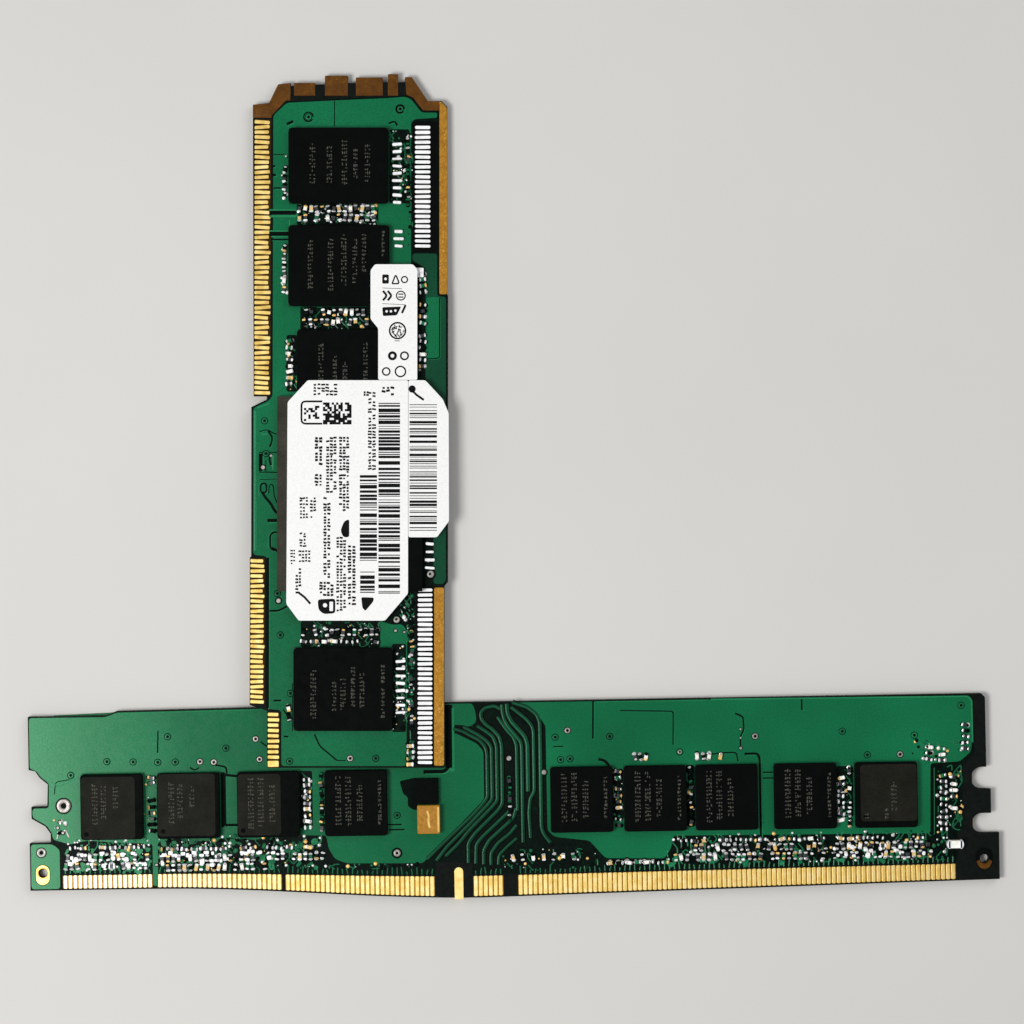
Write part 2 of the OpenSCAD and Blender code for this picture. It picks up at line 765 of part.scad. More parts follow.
upper_rows = [
    [6.8, 17.4, 75.9, 0.78, true, 0, 51], [6.8, 17.2, 77.15, 0.78, true, 0, 52],
    [7.5, 16.2, 61.55, 0.78, true, 0, 53], [7.7, 16, 62.9, 0.78, true, 0, 54],
    [7.4, 18, 19, 0.78, true, 0, 55], [7.4, 18, 17.7, 1.4, false, 0, 56]
];
upper_columns = [
    [78, 86.8, 20.2, 1, false, 1, 61], [72, 74.2, 20.4, 1, false, 1, 62],
    [8, 15.2, 20.7, 1, false, 1, 63], [53, 59.6, 5.4, 0.85, false, 1, 64],
    [54.6, 69, 23.7, 0.85, false, 0, 65], [0.9, 5.4, 22, 0.82, false, 0, 66],
    [27.8, 31.4, 24.7, 1.1, false, 1, 67], [78, 87.6, 21.7, 1.2, true, 2, 68],
    [6.6, 20.2, 22.2, 1.2, true, 2, 69], [79, 84.6, 4.7, 1.15, true, 0, 70],
    [66, 72.6, 4.7, 1.15, true, 0, 71], [7.4, 9.4, 5.4, 1.15, true, 1, 72]
];

module upper_capacitors() {
    color("#efe9dc") place_upper() {
        chip_parts(upper_rows, 1, capacitor_h);
        chip_part_columns(upper_columns, 1, capacitor_h);
    }
}

module upper_resistors() {
    color("#8a8a86") place_upper() {
        chip_parts(upper_rows, 2, resistor_h);
        chip_part_columns(upper_columns, 2, resistor_h);
    }
}

lower_laminate_back();
lower_ground_plane();
lower_laminate_front();
lower_mask_front();
lower_mask_back();
lower_contacts_front();
lower_contacts_back();
lower_key_contact();
lower_corner_pads();
lower_vias();
lower_test_rings();
lower_track_bundle();
lower_dram_1();
lower_dram_2();
lower_dram_3();
lower_dram_4();
lower_dram_5();
lower_dram_6();
lower_dram_7();
lower_dram_8();
lower_dram_9();
lower_dram_substrates();
lower_dram_dies();
lower_solder_balls();
spd_chip();
tantalum_capacitor();
tantalum_terminals();
lower_capacitors();
lower_resistors();
upper_laminate_back();
upper_ground_plane();
upper_laminate_front();
upper_mask_front();
upper_mask_back();
upper_contacts_long();
upper_contacts_short();
upper_contacts_end();
upper_contacts_back();
upper_copper_border();
upper_copper_rails();
upper_pad_beds();
upper_pads();
upper_dram_1();
upper_dram_2();
upper_register_chip();
upper_dram_3();
upper_dram_substrates();
upper_dram_dies();
upper_solder_balls();
buffer_substrate();
buffer_mould();
buffer_lid();
label_main();
label_side();
label_top();
upper_capacitors();
upper_resistors();
upper_vias();
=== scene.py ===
"""The looks of a pair of memory modules that overlap in an L: a long lower board, and an upper board on it.

Places are in a board's own millimetres: x and y from its bottom left corner as the main view shows it, and
z up from its back face.
"""

import math
import random

import bmesh
import bpy
from mathutils import Matrix, Vector
from mathutils.geometry import tessellate_polygon


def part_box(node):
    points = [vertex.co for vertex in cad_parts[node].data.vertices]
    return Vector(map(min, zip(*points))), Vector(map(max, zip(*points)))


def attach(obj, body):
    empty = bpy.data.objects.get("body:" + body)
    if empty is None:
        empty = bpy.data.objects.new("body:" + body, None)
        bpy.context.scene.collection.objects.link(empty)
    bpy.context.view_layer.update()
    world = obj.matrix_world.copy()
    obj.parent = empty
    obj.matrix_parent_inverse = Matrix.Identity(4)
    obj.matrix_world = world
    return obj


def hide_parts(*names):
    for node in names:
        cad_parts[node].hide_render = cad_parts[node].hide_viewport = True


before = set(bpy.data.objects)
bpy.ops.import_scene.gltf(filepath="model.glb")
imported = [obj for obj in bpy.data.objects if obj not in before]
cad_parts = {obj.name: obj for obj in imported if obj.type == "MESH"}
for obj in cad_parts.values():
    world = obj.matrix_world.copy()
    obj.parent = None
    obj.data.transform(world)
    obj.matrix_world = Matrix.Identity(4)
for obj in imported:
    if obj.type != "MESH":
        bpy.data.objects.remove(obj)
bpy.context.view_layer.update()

MM = 0.001

# ---- The two boards ----

LOWER_FAR_EDGE = 25.1
UPPER_LENGTH = 95.7
SKEW = math.radians(0.9)
TILT = math.asin(1.3 / 86.8)
LAMINATE_MIDDLE = 0.635
FRONT = 1.27
PACKAGE_TOP = 2.41


class Board:
    """One of the two boards: the body its pieces ride on, and where its own millimetres lie."""

    def __init__(self, name, matrix):
        self.name = name
        self.body = name + "_module"
        self.matrix = matrix @ Matrix.Scale(MM, 4)

    def islands(self, node):
        """The boxes of a CAD node's separate solids, in the board's millimetres, in a steady order."""
        solid = bmesh.new()
        solid.from_mesh(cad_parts[node].data)
        bmesh.ops.remove_doubles(solid, verts=solid.verts, dist=1e-7)
        solid.transform(self.matrix.inverted())
        seen, boxes = set(), []
        for start in solid.verts:
            if start in seen:
                continue
            seen.add(start)
            group, front = [start], [start]
            while front:
                for edge in front.pop().link_edges:
                    for end in edge.verts:
                        if end not in seen:
                            seen.add(end)
                            group.append(end)
                            front.append(end)
            low = Vector([min(v.co[k] for v in group) for k in range(3)])
            high = Vector([max(v.co[k] for v in group) for k in range(3)])
            boxes.append((low, high))
        solid.free()
        return sorted(boxes, key=lambda box: (round(box[0].y, 2), round(box[0].x, 2)))


def lower_matrix():
    low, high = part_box("lower_laminate_front")
    return Matrix.Translation((low.x, high.y - LOWER_FAR_EDGE * MM, 0))


def upper_matrix():
    """The upper board is turned and leaned as in the frame; its corner is found by undoing the turn."""
    turn = Matrix.Rotation(-SKEW, 4, "Z") @ Matrix.Rotation(-TILT, 4, "X")
    unturn = turn.inverted()
    points = [unturn @ v.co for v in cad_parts["upper_laminate_front"].data.vertices]
    corner = Vector((
        min(p.x for p in points),
        max(p.y for p in points) - UPPER_LENGTH * MM,
        min(p.z for p in points) - LAMINATE_MIDDLE * MM,
    ))
    return turn @ Matrix.Translation(corner)


LOWER = Board("lower", lower_matrix())
UPPER = Board("upper", upper_matrix())

# ---- Materials ----


def rgb(hex_colour):
    """A linear colour from a hex one."""
    parts = [int(hex_colour[k:k + 2], 16) / 255 for k in (1, 3, 5)]
    return [c / 12.92 if c <= 0.04045 else ((c + 0.055) / 1.055) ** 2.4 for c in parts] + [1]


class Finish:
    """A procedural material whose textures are measured in millimetres."""

    def __init__(self, name, roughness=0.5, metallic=0.0, specular=0.5):
        self.material = bpy.data.materials.new(name)
        self.material.use_nodes = True
        self.nodes = self.material.node_tree.nodes
        self.links = self.material.node_tree.links
        self.inputs = self.nodes["Principled BSDF"].inputs
        self.inputs["Roughness"].default_value = roughness
        self.inputs["Metallic"].default_value = metallic
        self.inputs["Specular IOR Level"].default_value = specular
        self.coordinates = self.nodes.new("ShaderNodeTexCoord").outputs
        self.millimetres = self.add(
            "Mapping", {"Vector": self.coordinates["Object"], "Scale": (1 / MM, 1 / MM, 1 / MM)}, "Vector")

    def feed(self, socket, value):
        """Gives an input a link, a hex colour or a plain value."""
        if isinstance(value, bpy.types.NodeSocket):
            self.links.new(value, socket)
        else:
            socket.default_value = rgb(value) if isinstance(value, str) else value

    def add(self, kind, values, output):
        """A new node with its inputs fed; returns one of its outputs."""
        node = self.nodes.new("ShaderNode" + kind)
        for key, value in values.items():
            self.feed(node.inputs[key], value)
        return node.outputs[output]

    def stretched(self, factors):
        """The same millimetres, stretched along the axes."""
        return self.add("Mapping", {"Vector": self.millimetres, "Scale": factors}, "Vector")

    def noise(self, scale, detail=3.0, roughness=0.55, distortion=0.0, vector=None):
        return self.add("TexNoise", {
            "Vector": vector or self.millimetres, "Scale": scale, "Detail": detail, "Roughness": roughness,
            "Distortion": distortion,
        }, "Fac")

    def cells(self, scale, vector):
        return self.add("TexVoronoi", {"Vector": vector, "Scale": scale}, "Distance")

    def ramp(self, factor, stops):
        """A colour ramp; stops are (position, hex colour)."""
        node = self.nodes.new("ShaderNodeValToRGB")
        for k, (position, colour) in enumerate(stops):
            element = node.color_ramp.elements[k] if k < 2 else node.color_ramp.elements.new(position)
            element.position = position
            element.color = rgb(colour)
        self.links.new(factor, node.inputs["Fac"])
        return node.outputs["Color"]

    def mottle(self, noise, *stops):
        """Patches of colour: a ramp over noise."""
        return self.ramp(self.noise(*noise), stops)

    def specks(self, noise, edge, strength):
        """Nought, but for specks that start and are full at the two levels of edge."""
        return self.level(self.noise(*noise), edge, (0.0, strength))

    def level(self, factor, from_range, to_range):
        return self.add("MapRange", {
            "Value": factor, "From Min": from_range[0], "From Max": from_range[1],
            "To Min": to_range[0], "To Max": to_range[1],
        }, "Result")

    def mix(self, factor, first, second, blend="MIX"):
        """Mixes two colours; either may be a socket or a hex colour."""
        node = self.nodes.new("ShaderNodeMix")
        node.data_type = "RGBA"
        node.blend_type = blend
        for key, value in ((0, factor), (6, first), (7, second)):
            self.feed(node.inputs[key], value)
        return node.outputs[2]

    def along(self, from_range, to_range):
        """A level that follows the place along the lower board."""
        return self.level(self.add("SeparateXYZ", {0: self.millimetres}, "X"), from_range, to_range)

    def upward(self):
        """One on faces that look up or down, nought on the sides."""
        size = self.nodes.new("ShaderNodeMath")
        size.operation = "ABSOLUTE"
        self.links.new(self.add("SeparateXYZ", {0: self.coordinates["Normal"]}, "Z"), size.inputs[0])
        return self.level(size.outputs[0], (0.6, 0.8), (0.0, 1.0))

    def colour(self, socket):
        """Sets the colour and returns the material, which is ready if nothing else is set."""
        self.feed(self.inputs["Base Color"], socket)
        return self.material

    def gloss(self, factor, low, high):
        """Roughness that wanders between low and high."""
        self.feed(self.inputs["Roughness"], self.level(factor, (0.3, 0.7), (low, high)))

    def bump(self, height, depth, strength):
        """Adds relief of the given depth in millimetres and returns the material."""
        relief = self.add("Bump", {"Height": height, "Distance": depth * MM, "Strength": strength}, "Normal")
        self.feed(self.inputs["Normal"], relief)
        return self.material


def solder_mask(name, dark, middle, light, roughness=(0.2, 0.26)):
    """Solder mask over copper: a slow drift of tone, a fine grain and a slightly wavy gloss.

    The tone grows lighter toward the left end of the lower board, a painted highlight where the glare falls.
    """
    finish = Finish(name, specular=0.2)
    drift = finish.mottle((0.05, 2.0), (0.3, dark), (0.52, middle), (0.75, light))
    # Painted highlight: the tone is mixed toward a pale green at the left end, where the glare falls.
    drift = finish.mix(finish.along((-44.0, -66.0), (0.0, 0.75)), drift, "#2f9a5f")
    grain = finish.mottle((5.5, 5.0, 0.75), (0.36, "#9aa39d"), (0.62, "#ffffff"))
    finish.colour(finish.mix(0.55, drift, grain, "MULTIPLY"))
    finish.gloss(finish.noise(1.2, 3.0), *roughness)
    return finish.bump(finish.noise(3.0, 4.0), 0.012, 0.6)


def bare_board(name):
    """The dark board between pours, with faint green veins of buried copper."""
    finish = Finish(name, specular=0.05)
    base = finish.mottle((0.8, 4.0, 0.7), (0.35, "#010503"), (0.7, "#031a0f"))
    drawn_out = finish.cells(2.2, finish.stretched((1.0, 0.55, 1.0)))
    veins = finish.ramp(drawn_out, [(0.0, "#0d5433"), (0.16, "#010805")])
    finish.colour(finish.mix(0.35, base, veins))
    finish.gloss(finish.noise(1.6), 0.35, 0.55)
    return finish.bump(finish.noise(2.5, 4.0), 0.02, 0.8)


def laminate_edge(name):
    """Glass laminate: thin pressed layers on the cut edge, and a black face where the mask stops short."""
    finish = Finish(name, specular=0.08)
    layers = finish.noise(1.0, 2.0, vector=finish.stretched((0.15, 0.15, 14.0)))
    flecks = finish.cells(6.0, finish.stretched((1.0, 1.0, 0.4)))
    base = finish.ramp(layers, [(0.36, "#0a120c"), (0.5, "#1d2a1a"), (0.64, "#394226")])
    sides = finish.mix(finish.level(flecks, (0.0, 0.25), (0.35, 0.0)), base, "#5b5f3c")
    faces = finish.mottle((1.4, 4.0, 0.7), (0.35, "#040705"), (0.7, "#0c140f"))
    finish.colour(finish.mix(finish.upward(), sides, faces))
    finish.gloss(finish.noise(4.0), 0.5, 0.75)
    return finish.bump(layers, 0.03, 0.7)


def plated(name, shade, base, bright, roughness, metallic=0.35, paling=0.0):
    """Plated metal, streaked and pitted; with paling it is paler to the left, a painted highlight of the
    glare there, and duller to the right.
    """
    finish = Finish(name, metallic=metallic, specular=0.3)
    streaks = finish.noise(0.8, 3.0, 0.5)
    tone = finish.ramp(streaks, [(0.3, shade), (0.5, base), (0.75, bright)])
    # Painted highlight: paler toward the left end, where the glare falls.
    tone = finish.mix(finish.along((-30.0, -54.0), (0.0, paling)), tone, "#fff7d8")
    tone = finish.mix(finish.along((0.0, 60.0), (0.0, paling * 0.6)), tone, "#b99143")
    pits = finish.specks((7.0, 5.0, 0.8), (0.66, 0.76), 0.25)
    finish.colour(finish.mix(pits, tone, "#c98f2e"))
    finish.gloss(streaks, *roughness)
    return finish.bump(finish.noise(9.0, 3.0), 0.006, 0.5)


def mould(name, dark, light, roughness=(0.5, 0.68)):
    """Moulded epoxy: near black with a fine speckle of filler."""
    finish = Finish(name, specular=0.035)
    speckle = finish.noise(9.0, 4.0, 0.8)
    tone = finish.ramp(speckle, [(0.4, dark), (0.66, light)])
    smear = finish.mottle((0.35, 3.0), (0.3, "#b9bdb7"), (0.7, "#ffffff"))
    finish.colour(finish.mix(0.8, tone, smear, "MULTIPLY"))
    finish.gloss(finish.noise(0.8), *roughness)
    return finish.bump(speckle, 0.008, 0.8)


def ceramic(name, dark, light, roughness=(0.3, 0.45)):
    """Fired ceramic or a painted body, a little uneven from part to part."""
    finish = Finish(name, specular=0.5)
    finish.colour(finish.mottle((0.9, 4.0, 0.7), (0.3, dark), (0.62, light)))
    finish.gloss(finish.noise(3.0), *roughness)
    return finish.bump(finish.noise(8.0), 0.006, 0.5)


def solder_metal(name, dark, light, roughness=(0.22, 0.4), metallic=0.7):
    finish = Finish(name, metallic=metallic)
    finish.colour(finish.mottle((2.4, 4.0, 0.7), (0.3, dark), (0.6, light)))
    finish.gloss(finish.noise(3.0), *roughness)
    return finish.bump(finish.noise(4.0, 3.0), 0.02, 0.7)


def brown_copper(name):
    """Oxidised bare copper: brown with mustard flecks and dark pits."""
    finish = Finish(name, roughness=0.5, metallic=0.2, specular=0.15)
    tone = finish.mottle((0.9, 4.0, 0.7), (0.3, "#4a2a05"), (0.6, "#5f3906"), (0.78, "#7a4c10"))
    flecks = finish.specks((4.5, 5.0, 0.85), (0.6, 0.67), 0.85)
    pits = finish.level(finish.noise(3.2, 5.0, 0.85, vector=finish.stretched((1.0, 1.0, 2.0))),
                        (0.64, 0.7), (0.0, 0.8))
    finish.colour(finish.mix(pits, finish.mix(flecks, tone, "#a3712a"), "#20140a"))
    return finish.bump(finish.noise(3.0, 5.0), 0.02, 0.7)


def mustard_copper(name):
    """Bare rail copper: mustard, mottled, with pale scuffs and small dark pits."""
    finish = Finish(name, roughness=0.45, metallic=0.25, specular=0.2)
    tone = finish.mottle((1.2, 4.0, 0.7), (0.3, "#8f6012"), (0.55, "#a6731a"), (0.8, "#b88528"))
    scuffs = finish.specks((3.4, 5.0, 0.8, 0.4), (0.56, 0.61), 0.75)
    pits = finish.specks((5.0, 4.0, 0.8), (0.61, 0.65), 0.7)
    finish.colour(finish.mix(pits, finish.mix(scuffs, tone, "#d9b055"), "#3d250b"))
    return finish.bump(finish.noise(3.4, 5.0), 0.015, 0.6)


def paper(name):
    """Bright label paper, with faint fibres and a soft unevenness."""
    finish = Finish(name, specular=0.15)
    fibres = finish.noise(4.0, 6.0, 0.75, 0.6)
    finish.colour(finish.ramp(fibres, [(0.25, "#dcdbd6"), (0.55, "#efeeea")]))
    finish.gloss(finish.noise(0.6), 0.5, 0.7)
    return finish.bump(fibres, 0.01, 0.5)


def ink(name):
    """Printed ink: black, broken up a little where the print is thin."""
    finish = Finish(name, roughness=0.6, specular=0.08)
    worn = finish.specks((5.0, 5.0, 0.8), (0.62, 0.75), 0.45)
    return finish.colour(finish.mix(worn, "#070a08", "#4a4a46"))


def faint_print(name):
    """Laser marks on a package: warm grey, patchy."""
    finish = Finish(name, roughness=0.8, specular=0.15)
    return finish.colour(finish.mottle((2.6, 4.0, 0.8), (0.35, "#262620"), (0.68, "#5c5b50")))


def amber_case(name):
    """The amber case of a tantalum capacitor: mottled, with small dark pits."""
    finish = Finish(name, specular=0.25)
    tone = finish.mottle((2.0, 4.0, 0.7), (0.3, "#8f5f10"), (0.55, "#a8741a"), (0.8, "#b78426"))
    pits = finish.specks((5.0, 5.0, 0.85), (0.62, 0.68), 0.85)
    finish.colour(finish.mix(pits, tone, "#4a2e0a"))
    finish.gloss(finish.noise(2.0), 0.35, 0.5)
    return finish.bump(finish.noise(4.0), 0.012, 0.6)


POUR_GREEN = solder_mask("mask_over_copper", "#045f39", "#066b41", "#0c794c")
POUR_DIM = solder_mask("mask_over_copper_dim", "#053c25", "#07482e", "#0b5839")
# A paler mask: painted highlight on the lips and ridges, and the tone of some loose green patches.
POUR_LIGHT = solder_mask("mask_over_copper_light", "#17774a", "#208253", "#2c9060")
TRACK_GREEN = solder_mask("track_green", "#0a5233", "#126a41", "#238355")
# Painted shade on the bodies of the bundle's tracks.
TRACK_SHADED = solder_mask("track_painted_shade", "#03301c", "#064127", "#0d5636")
BOARD_DARK = bare_board("mask_dark")
MASK_BLACK = mould("mask_black", "#040706", "#0a0f0c", (0.35, 0.5))
LAMINATE = laminate_edge("laminate_layers")
COPPER_PLANE = brown_copper("copper_plane")
GOLD = plated("contact_gold", "#f3cf6e", "#fcdf88", "#ffedb0", (0.3, 0.42), paling=0.6)
GOLD_DULL = plated("gold_dull", "#c08a2e", "#dba94a", "#efc873", (0.35, 0.55), 0.75)
WARM_GOLD = plated("contact_gold_warm", "#dcb356", "#f0cd72", "#fbe39a", (0.3, 0.42))
BED_SHADOW = mould("contact_bed_shadow", "#2b1c09", "#4f3513")
PAD_GOLD = plated("pad_gold", "#e3c05c", "#f0d67e", "#f8e6a4", (0.3, 0.42))
OCHRE = mustard_copper("contact_bed")
SPECK_GOLD = solder_metal("speck_gold", "#d09a3a", "#ffd98a", (0.3, 0.5), 0.3)
COPPER_BROWN = brown_copper("bare_copper_brown")
COPPER_RAIL = mustard_copper("rail_copper_mustard")
CAP_BLACK = mould("mould_black", "#020403", "#080c0a")
# Painted sheen on the tops of packages that catch the light.
CAP_SHEEN = mould("mould_painted_sheen", "#171712", "#2c2b24", (0.42, 0.58))
LID_GREY = mould("lid_grey", "#33322b", "#4a493f", (0.4, 0.55))
SUBSTRATE = solder_mask("package_substrate", "#10301f", "#173d29", "#204a33", (0.45, 0.6))
SILICON = solder_metal("silicon_grey", "#3c424c", "#5d6470", (0.2, 0.3), 0.3)
SOLDER = solder_metal("solder_tin", "#a8a8a4", "#e6e6e2")
TIN_WHITE = solder_metal("terminal_tin", "#cfcdc6", "#ffffff", (0.3, 0.5), 0.15)
SILVER = solder_metal("silver_ring", "#6c6761", "#aaa49c", (0.3, 0.45), 0.4)
CREAM = ceramic("ceramic_cream", "#e2dccb", "#fffdf4")
TAN = ceramic("ceramic_tan", "#b08a4a", "#e3c27e")
RESISTOR_BLACK = ceramic("resistor_black", "#0b0e0d", "#23262a")
WHITE_PAD = ceramic("pad_white", "#e2e2de", "#f6f6f3", (0.4, 0.5))
AMBER = amber_case("tantalum_amber")
AMBER_LIGHT = ceramic("tantalum_mark", "#d0a347", "#e6bd62")
PAPER = paper("label_paper")
INK = ink("label_ink")
FAINT = faint_print("package_print")
# Dark lines and patches; some of them are painted shadow, beside the upper board and the second package.
LINE_DARK = mould("etched_line", "#020805", "#06140d")
# Painted shadow round the bundle's tracks.
TRACK_SHADOW_BLACK = mould("track_painted_shadow", "#010302", "#030a06")

# ---- Building pieces ----

PRINT = 0.012


def rounded_rect(centre, size, corner, turn=0.0, steps=2):
    """Points of a rectangle with round corners, anticlockwise."""
    half = (size[0] / 2 - corner, size[1] / 2 - corner)
    points = []
    for k, (side_x, side_y) in enumerate(((1, 1), (-1, 1), (-1, -1), (1, -1))):
        for step in range(steps + 1):
            angle = math.pi / 2 * (k + step / steps)
            x = side_x * half[0] + corner * math.cos(angle)
            y = side_y * half[1] + corner * math.sin(angle)
            points.append((
                centre[0] + x * math.cos(turn) - y * math.sin(turn),
                centre[1] + x * math.sin(turn) + y * math.cos(turn),
            ))
    return points


def box_outline(left, bottom, right, top, corner=0.3):
    centre = ((left + right) / 2, (bottom + top) / 2)
    return rounded_rect(centre, (right - left, top - bottom), corner, steps=3)


def circle(centre, radius, steps=20):
    angles = [2 * math.pi * k / steps for k in range(steps)]
    return [(centre[0] + radius * math.cos(a), centre[1] + radius * math.sin(a)) for a in angles]


def softened(points, radius, closed=True, steps=4):
    """The same outline or path with each corner turned into a short curve."""
    result = []
    count = len(points)
    for k, point in enumerate(points):
        if not closed and k in (0, count - 1):
            result.append(tuple(point))
            continue
        here = Vector(point)
        before = Vector(points[k - 1]) - here
        after = Vector(points[(k + 1) % count]) - here
        reach = min(radius, before.length * 0.45, after.length * 0.45)
        start = here + before.normalized() * reach
        end = here + after.normalized() * reach
        for step in range(steps + 1):
            t = step / steps
            result.append(tuple(start * (1 - t) ** 2 + here * 2 * t * (1 - t) + end * t ** 2))
    return result


def bent(path, radius, steps=4):
    """An open path with its corners softened."""
    return softened(path, radius, False, steps)


class Piece:
    """Gathers solids in a board's millimetres, then makes one object that rides on the board.

    A finish is one of the piece's materials; where none is given, it is the first.
    """

    def __init__(self, board, name, slot, *materials):
        self.board = board
        self.name = board.name + "_" + name
        self.slot = slot
        self.materials = materials
        self.points = []
        self.faces = []
        self.finishes = []
        self.smooth = []

    def face(self, corners, finish, smooth=False):
        self.faces.append(tuple(corners))
        self.finishes.append(self.materials.index(finish) if finish else 0)
        self.smooth.append(smooth)

    def skin(self, rings, finish, top=None, smooth=False):
        """A solid skinned through rings of points, first to last, closed at both ends."""
        first = len(self.points)
        count = len(rings[0])
        for ring in rings:
            self.points.extend(ring)
        for level in range(len(rings) - 1):
            a = first + level * count
            for k in range(count):
                j = (k + 1) % count
                self.face((a + k, a + j, a + count + j, a + count + k), finish, smooth)
        last = first + (len(rings) - 1) * count
        self.face(range(last, last + count), top or finish)
        self.face(reversed(range(first, first + count)), finish)

    def block(self, centre, size, z, finish=None, *, corner, edge, turn=0.0, steps=2):
        """A slab with round corners and a rounded top edge."""
        rings = []
        for inset, level in ((0, z[0]), (0, z[1] - edge), (edge * 0.3, z[1] - edge * 0.3), (edge, z[1])):
            inner = (size[0] - 2 * inset, size[1] - 2 * inset)
            outline = rounded_rect(centre, inner, max(corner - inset, 0.005), turn, steps)
            rings.append([(x, y, level) for x, y in outline])
        self.skin(rings, finish)

    def turned(self, centre, profile, finish=None, top=None, steps=24):
        """A solid of rings round a centre; the profile is (radius, z) points from the bottom up."""
        rings = [[(x, y, z) for x, y in circle(centre, radius, steps)] for radius, z in profile]
        self.skin(rings, finish, top, smooth=True)

    def mark(self, centre, size, z, finish, turn=0.0):
        """A thin printed mark."""
        rings = []
        for level in (z, z + PRINT):
            outline = [(-size[0], -size[1]), (size[0], -size[1]), (size[0], size[1]), (-size[0], size[1])]
            rings.append([(
                centre[0] + (x * math.cos(turn) - y * math.sin(turn)) / 2,
                centre[1] + (x * math.sin(turn) + y * math.cos(turn)) / 2,
                level,
            ) for x, y in outline])
        self.skin(rings, finish)

    def dome(self, centre, radius, z, height, finish, steps):
        profile = [(radius, z), (radius * 0.93, z + height * 0.4), (radius * 0.7, z + height * 0.8),
                   (radius * 0.3, z + height)]
        self.turned(centre, profile, finish, steps=steps)

    def ribbon(self, path, width, z, height, finish=None):
        """A track with a rounded back along a path."""
        profile = ((-0.5, 0), (-0.42, 0.7), (-0.2, 1), (0.2, 1), (0.42, 0.7), (0.5, 0))
        rings = []
        for k, point in enumerate(path):
            before = Vector(path[max(k - 1, 0)])
            after = Vector(path[min(k + 1, len(path) - 1)])
            along = (after - before).normalized()
            side = Vector((-along.y, along.x))
            rings.append([
                (point[0] + side.x * x * width, point[1] + side.y * x * width, z + y * height)
                for x, y in profile
            ])
        self.skin(rings, finish)

    def plate(self, outlines, z, finish=None):
        """A flat plate of any outline; the outlines after the first are holes in it."""
        first = len(self.points)
        flat = [point for outline in outlines for point in outline]
        count = len(flat)
        self.points.extend((x, y, z[0]) for x, y in flat)
        self.points.extend((x, y, z[1]) for x, y in flat)
        for a, b, c in tessellate_polygon([[Vector((x, y, 0)) for x, y in line] for line in outlines]):
            self.face((first + a, first + b, first + c), finish)
            self.face((first + count + c, first + count + b, first + count + a), finish)
        start = first
        for outline in outlines:
            for k in range(len(outline)):
                j = (k + 1) % len(outline)
                self.face((start + k, start + j, start + count + j, start + count + k), finish)
            start += len(outline)

    def finish(self, *replaced):
        """Makes the object, rides it on its board and hides the CAD nodes that it stands for."""
        mesh = bpy.data.meshes.new(self.name)
        mesh.from_pydata(self.points, [], self.faces)
        for material in self.materials:
            mesh.materials.append(material)
        mesh.polygons.foreach_set("material_index", self.finishes)
        mesh.polygons.foreach_set("use_smooth", self.smooth)
        mesh.transform(self.board.matrix)
        solid = bmesh.new()
        solid.from_mesh(mesh)
        bmesh.ops.recalc_face_normals(solid, faces=solid.faces)
        solid.to_mesh(mesh)
        solid.free()
        piece = bpy.data.objects.new(self.name, mesh)
        bpy.context.scene.collection.objects.link(piece)
        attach(piece, self.board.body)
        if replaced:
            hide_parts(*replaced)


def dress(node, material, bevel=0.0):
    """Gives a CAD node its material, and rounds its edges a little."""
    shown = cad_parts[node]
    shown.data.materials.clear()
    shown.data.materials.append(material)
    if bevel:
        weld = shown.modifiers.new("weld", "WELD")
        weld.merge_threshold = 0.001 * MM
        rounding = shown.modifiers.new("rounding", "BEVEL")
        rounding.width = bevel * MM
        rounding.segments = 2
        rounding.limit_method = "ANGLE"


# ---- Carried-over CAD nodes ----


def dress_boards():
    for board in ("lower", "upper"):
        for side in ("back", "front"):
            dress(f"{board}_laminate_{side}", LAMINATE)
        dress(f"{board}_ground_plane", COPPER_PLANE)
        dress(f"{board}_mask_front", BOARD_DARK)
        dress(f"{board}_mask_back", POUR_DIM)
        dress(f"{board}_contacts_back", GOLD)
        dress(f"{board}_dram_substrates", SUBSTRATE)
        dress(f"{board}_dram_dies", SILICON)
        dress(f"{board}_solder_balls", SOLDER)
    dress("lower_key_contact", GOLD, 0.06)
    dress("upper_copper_border", COPPER_BROWN, 0.015)
    dress("upper_pad_beds", MASK_BLACK)
    dress("tantalum_terminals", SOLDER, 0.03)
    dress("buffer_substrate", SUBSTRATE)
    dress("buffer_mould", CAP_BLACK, 0.05)


def white_pads():
    """Two rows of tinned white pads with round ends."""
    source = random.Random(505)
    piece = Piece(UPPER, "white_pads", "white_pads", WHITE_PAD)
    for low, high in UPPER.islands("upper_pads"):
        centre, size = (low + high) / 2, high - low
        size.y *= source.uniform(0.74, 0.84)
        size.x -= source.uniform(0.0, 0.12)
        turn = source.uniform(-0.02, 0.02)
        piece.block(centre, size, (low.z, high.z), corner=0.19, edge=0.03, turn=turn, steps=3)
    piece.finish("upper_pads")


def fingers(board, node, name, along, share, wander, seed, gold, bed_finish):
    """Gold fingers with rounded backs on a bed, darker metal on the lower board and painted shadow on the
    upper; their ends wander a little.

    along is the axis the fingers point down, and share how much of its place a finger fills.
    """
    source = random.Random(seed)
    piece = Piece(board, name, "gold", gold, bed_finish)
    across = 1 - along
    boxes = sorted(board.islands(node), key=lambda box: box[0][across])
    group = []
    for k, (low, high) in enumerate(boxes):
        centre, size = (low + high) / 2, high - low
        size[across] *= share * source.uniform(0.95, 1.0)
        cut = wander * source.uniform(0.1, 1.0)
        size[along] -= cut
        centre[along] -= cut / 2
        turn = source.uniform(-0.2, 0.2) * wander
        piece.block(centre, size, (low.z, high.z), corner=0.14, edge=0.05, turn=turn, steps=3)
        group.append((low, high))
        if k + 1 == len(boxes) or boxes[k + 1][0][across] - high[across] > 0.6:
            bed(piece, group, along, across, bed_finish)
            group = []
    piece.finish(node)


